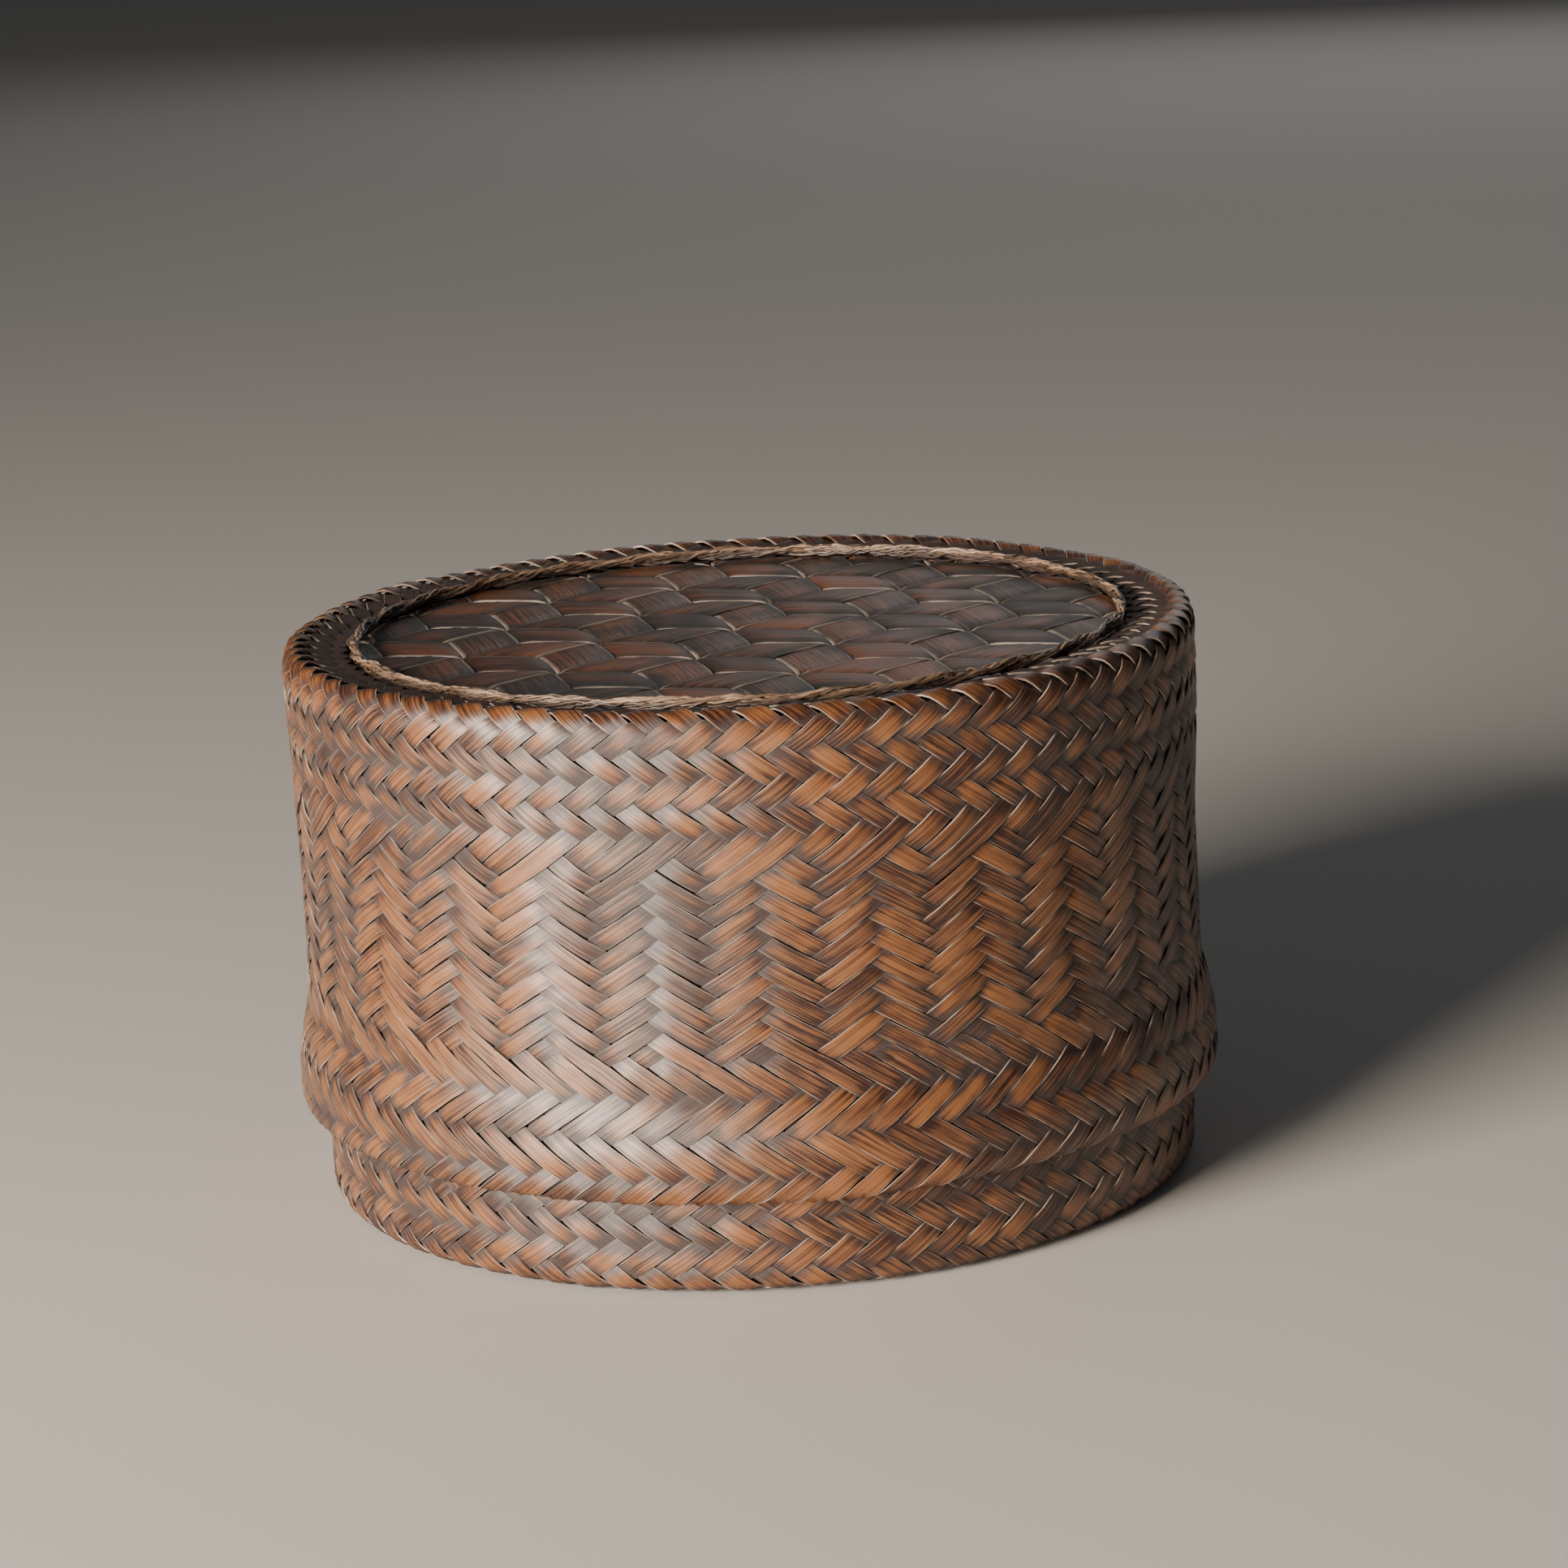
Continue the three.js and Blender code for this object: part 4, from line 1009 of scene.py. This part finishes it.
strand_start = add(S, MATH, [given["Half turn"], math.pi], operation="MULTIPLY")
twist = add(S, MATH, [turn, given["Twists"], strand_start], operation="MULTIPLY_ADD")
fibre_start = add(S, MATH, [share, 2 * math.pi], operation="MULTIPLY")
wind = add(S, MATH, [turn, given["Winds"], fibre_start], operation="MULTIPLY_ADD")
fibre_lane = add(S, MATH, [fibre, FIBRE_LANE, given["Seed"]], operation="MULTIPLY_ADD")
luck_spot = add(S, "ShaderNodeCombineXYZ", [place.outputs["X"], place.outputs["Y"], fibre_lane])
parts = []
for function, scale in (("COSINE", STRAYS_ROUND), ("SINE", STRAYS_UP)):
    noise = add(S, "ShaderNodeTexNoise", {"Vector": luck_spot, "Scale": scale, "Detail": 3.0})
    stray = add(S, MATH, [noise.outputs[0], -0.5], operation="ADD")
    stray = add(S, MATH, [stray, given["Roughness"]], operation="MULTIPLY")
    strand_part = add(S, MATH, [twist], operation=function)
    strand_part = add(S, MATH, [strand_part, given["Strand offset"]], operation="MULTIPLY")
    fibre_part = add(S, MATH, [wind], operation=function)
    fibre_part = add(S, MATH, [fibre_part, given["Strand radius"], strand_part], operation="MULTIPLY_ADD")
    parts.append(add(S, MATH, [fibre_part, stray], operation="ADD"))
ring = add(S, MATH, [given["Ring radius"], parts[0]], operation="ADD")
spot = add(S, "ShaderNodeCombineXYZ", [
    add(S, MATH, [place.outputs["X"], ring], operation="MULTIPLY"),
    add(S, MATH, [place.outputs["Y"], ring], operation="MULTIPLY"),
    add(S, MATH, [given["Height"], parts[1]], operation="ADD")])
print("winding:", len(S.nodes), "nodes so far")

# %% Store what the finish needs, and give the fibres their thickness
STRAND_TOP = 1.2 * MM               # this far above its middle, a strand counts as lifted all the way
THICKS_PER_RADIUS = 31.0            # how often a fibre grows thick and thin in one radius of the ring

# The finish reads this lift, so the lower fibres of a strand are darkened as painted shade.
lift = add(S, MATH, [parts[1], 1 / STRAND_TOP], operation="MULTIPLY")
stored = circles
length = add(S, MATH, [turn, given["Ring radius"]], operation="MULTIPLY")
tone = add(S, "FunctionNodeRandomValue", {"ID": fibre, "Seed": given["Seed"]}, data_type="FLOAT")
for label, field in (("length", length), ("tone", tone), ("across", 0.0), ("lift", lift)):
    stored = add(S, STORE, {"Geometry": stored, "Name": label, "Value": field},
                 data_type="FLOAT", domain="POINT")
moved = add(S, "GeometryNodeSetPosition", {"Geometry": stored, "Position": spot})
section = add(S, CIRCLE, {"Resolution": FIBRE_SIDES, "Radius": given["Fibre radius"]}, mode="RADIUS")
thick_luck = add(S, "ShaderNodeTexNoise", {"Vector": luck_spot, "Scale": THICKS_PER_RADIUS, "Detail": 1.0})
thick = add(S, RANGE, [thick_luck.outputs[0], 0.3, 0.7, 0.45, 1.5])
solid = add(S, "GeometryNodeCurveToMesh", {
    "Curve": moved, "Profile Curve": section.outputs["Curve"], "Scale": thick})
soft = add(S, "GeometryNodeSetShadeSmooth", [solid])
dressed = add(S, "GeometryNodeSetMaterial", {"Geometry": soft, "Material": given["Material"]})
S.links.new(usable(dressed.outputs)[0], result.inputs["Geometry"])
print("twined_strand:", len(S.nodes), "nodes")

# %% Twine the four strands
RING_WIDTH = 3 * MM
STRAND_SEED, BASE_STRAND_SEED = 70, 75

strand_values = {"Fibres": 9, "Steps": 600, "Ring radius": RING_OUTSIDE - 0.5 * RING_WIDTH,
                 "Strand offset": 0.6 * MM, "Strand radius": 0.45 * MM, "Fibre radius": 0.3 * MM,
                 "Twists": 13.0, "Winds": 19.0, "Roughness": 2.6 * MM, "Material": strand_finish}
strand_sets = (("lid", ring_low, ring_high, STRAND_SEED),
               ("base", base_ring_low, base_ring_high, BASE_STRAND_SEED))
source = linked("strand_start", bpy.data.meshes.new("strand_start"))
for body, low, high, seed in strand_sets:
    for half in (0, 1):
        strand = grown(f"{body}_twined_strand_{half + 1}", source, strand_tree, {
            **strand_values, "Height": 0.5 * (low.z + high.z), "Half turn": float(half),
            "Seed": seed + half})
        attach(strand, body)
        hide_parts(f"{body}_binding_strand_{half + 1}")
bpy.data.objects.remove(source)

# %% [markdown]
# ## The floor and the light
#
# The basket stands on a pale, dull sheet. One large window, low and to the left, gives nearly all the
# light: it rakes across the weave, so that every crown has a bright side and a shadow, and it leaves the
# right side dark. A very weak fill and a cool sky keep that side from going black, and a lamp behind lifts
# the floor. Area lights are used because a window is one, and its soft edge is what rounds the shadows.

# %% The floor
FLOOR_SIZE = 30
FLOOR_COLOUR = "#d9d6d1"

floor_finish, floor_tree = start_material("pale_floor")
floor_shader = add(floor_tree, "ShaderNodeBsdfPrincipled", {
    "Base Color": colour(FLOOR_COLOUR), "Roughness": 0.9})
add(floor_tree, "ShaderNodeOutputMaterial", [floor_shader.outputs[0]])
bpy.ops.mesh.primitive_plane_add(size=FLOOR_SIZE)
floor = bpy.context.object
floor.name = "floor"
floor.data.materials.append(floor_finish)
print("floor:", FLOOR_SIZE, "metres wide")

# %% The lights
LIGHTS = (
    # name, place, size, watts, colour
    ("window", (-1.12, -1.24, 0.42), 0.84, 92, "#fff0e0"),
    ("fill", (1.3, -1.2, 0.7), 1.4, 0.15, "#e9eeff"),
    ("back", (0.8, 3.2, 1.4), 1.7, 7.0, "#ffffff"),
)
SKY_COLOUR, SKY_STRENGTH = "#dfe3e8", 0.06

for name, place, size, watts, tint in LIGHTS:
    lamp = bpy.data.lights.new(name, "AREA")
    lamp.size, lamp.energy, lamp.color = size, watts, colour(tint)[:3]
    stand = linked(name, lamp)
    aim = Vector((0, 0, CAMERA_AIM_HEIGHT)) - Vector(place)
    stand.matrix_world = Matrix.Translation(place) @ aim.to_track_quat("-Z", "Y").to_matrix().to_4x4()

world = bpy.data.worlds.new("soft_sky")
bpy.context.scene.world = world
world.use_nodes = True
sky = world.node_tree.nodes["Background"]
sky.inputs["Color"].default_value = colour(SKY_COLOUR)
sky.inputs["Strength"].default_value = SKY_STRENGTH
print("lights:", [entry[0] for entry in LIGHTS])
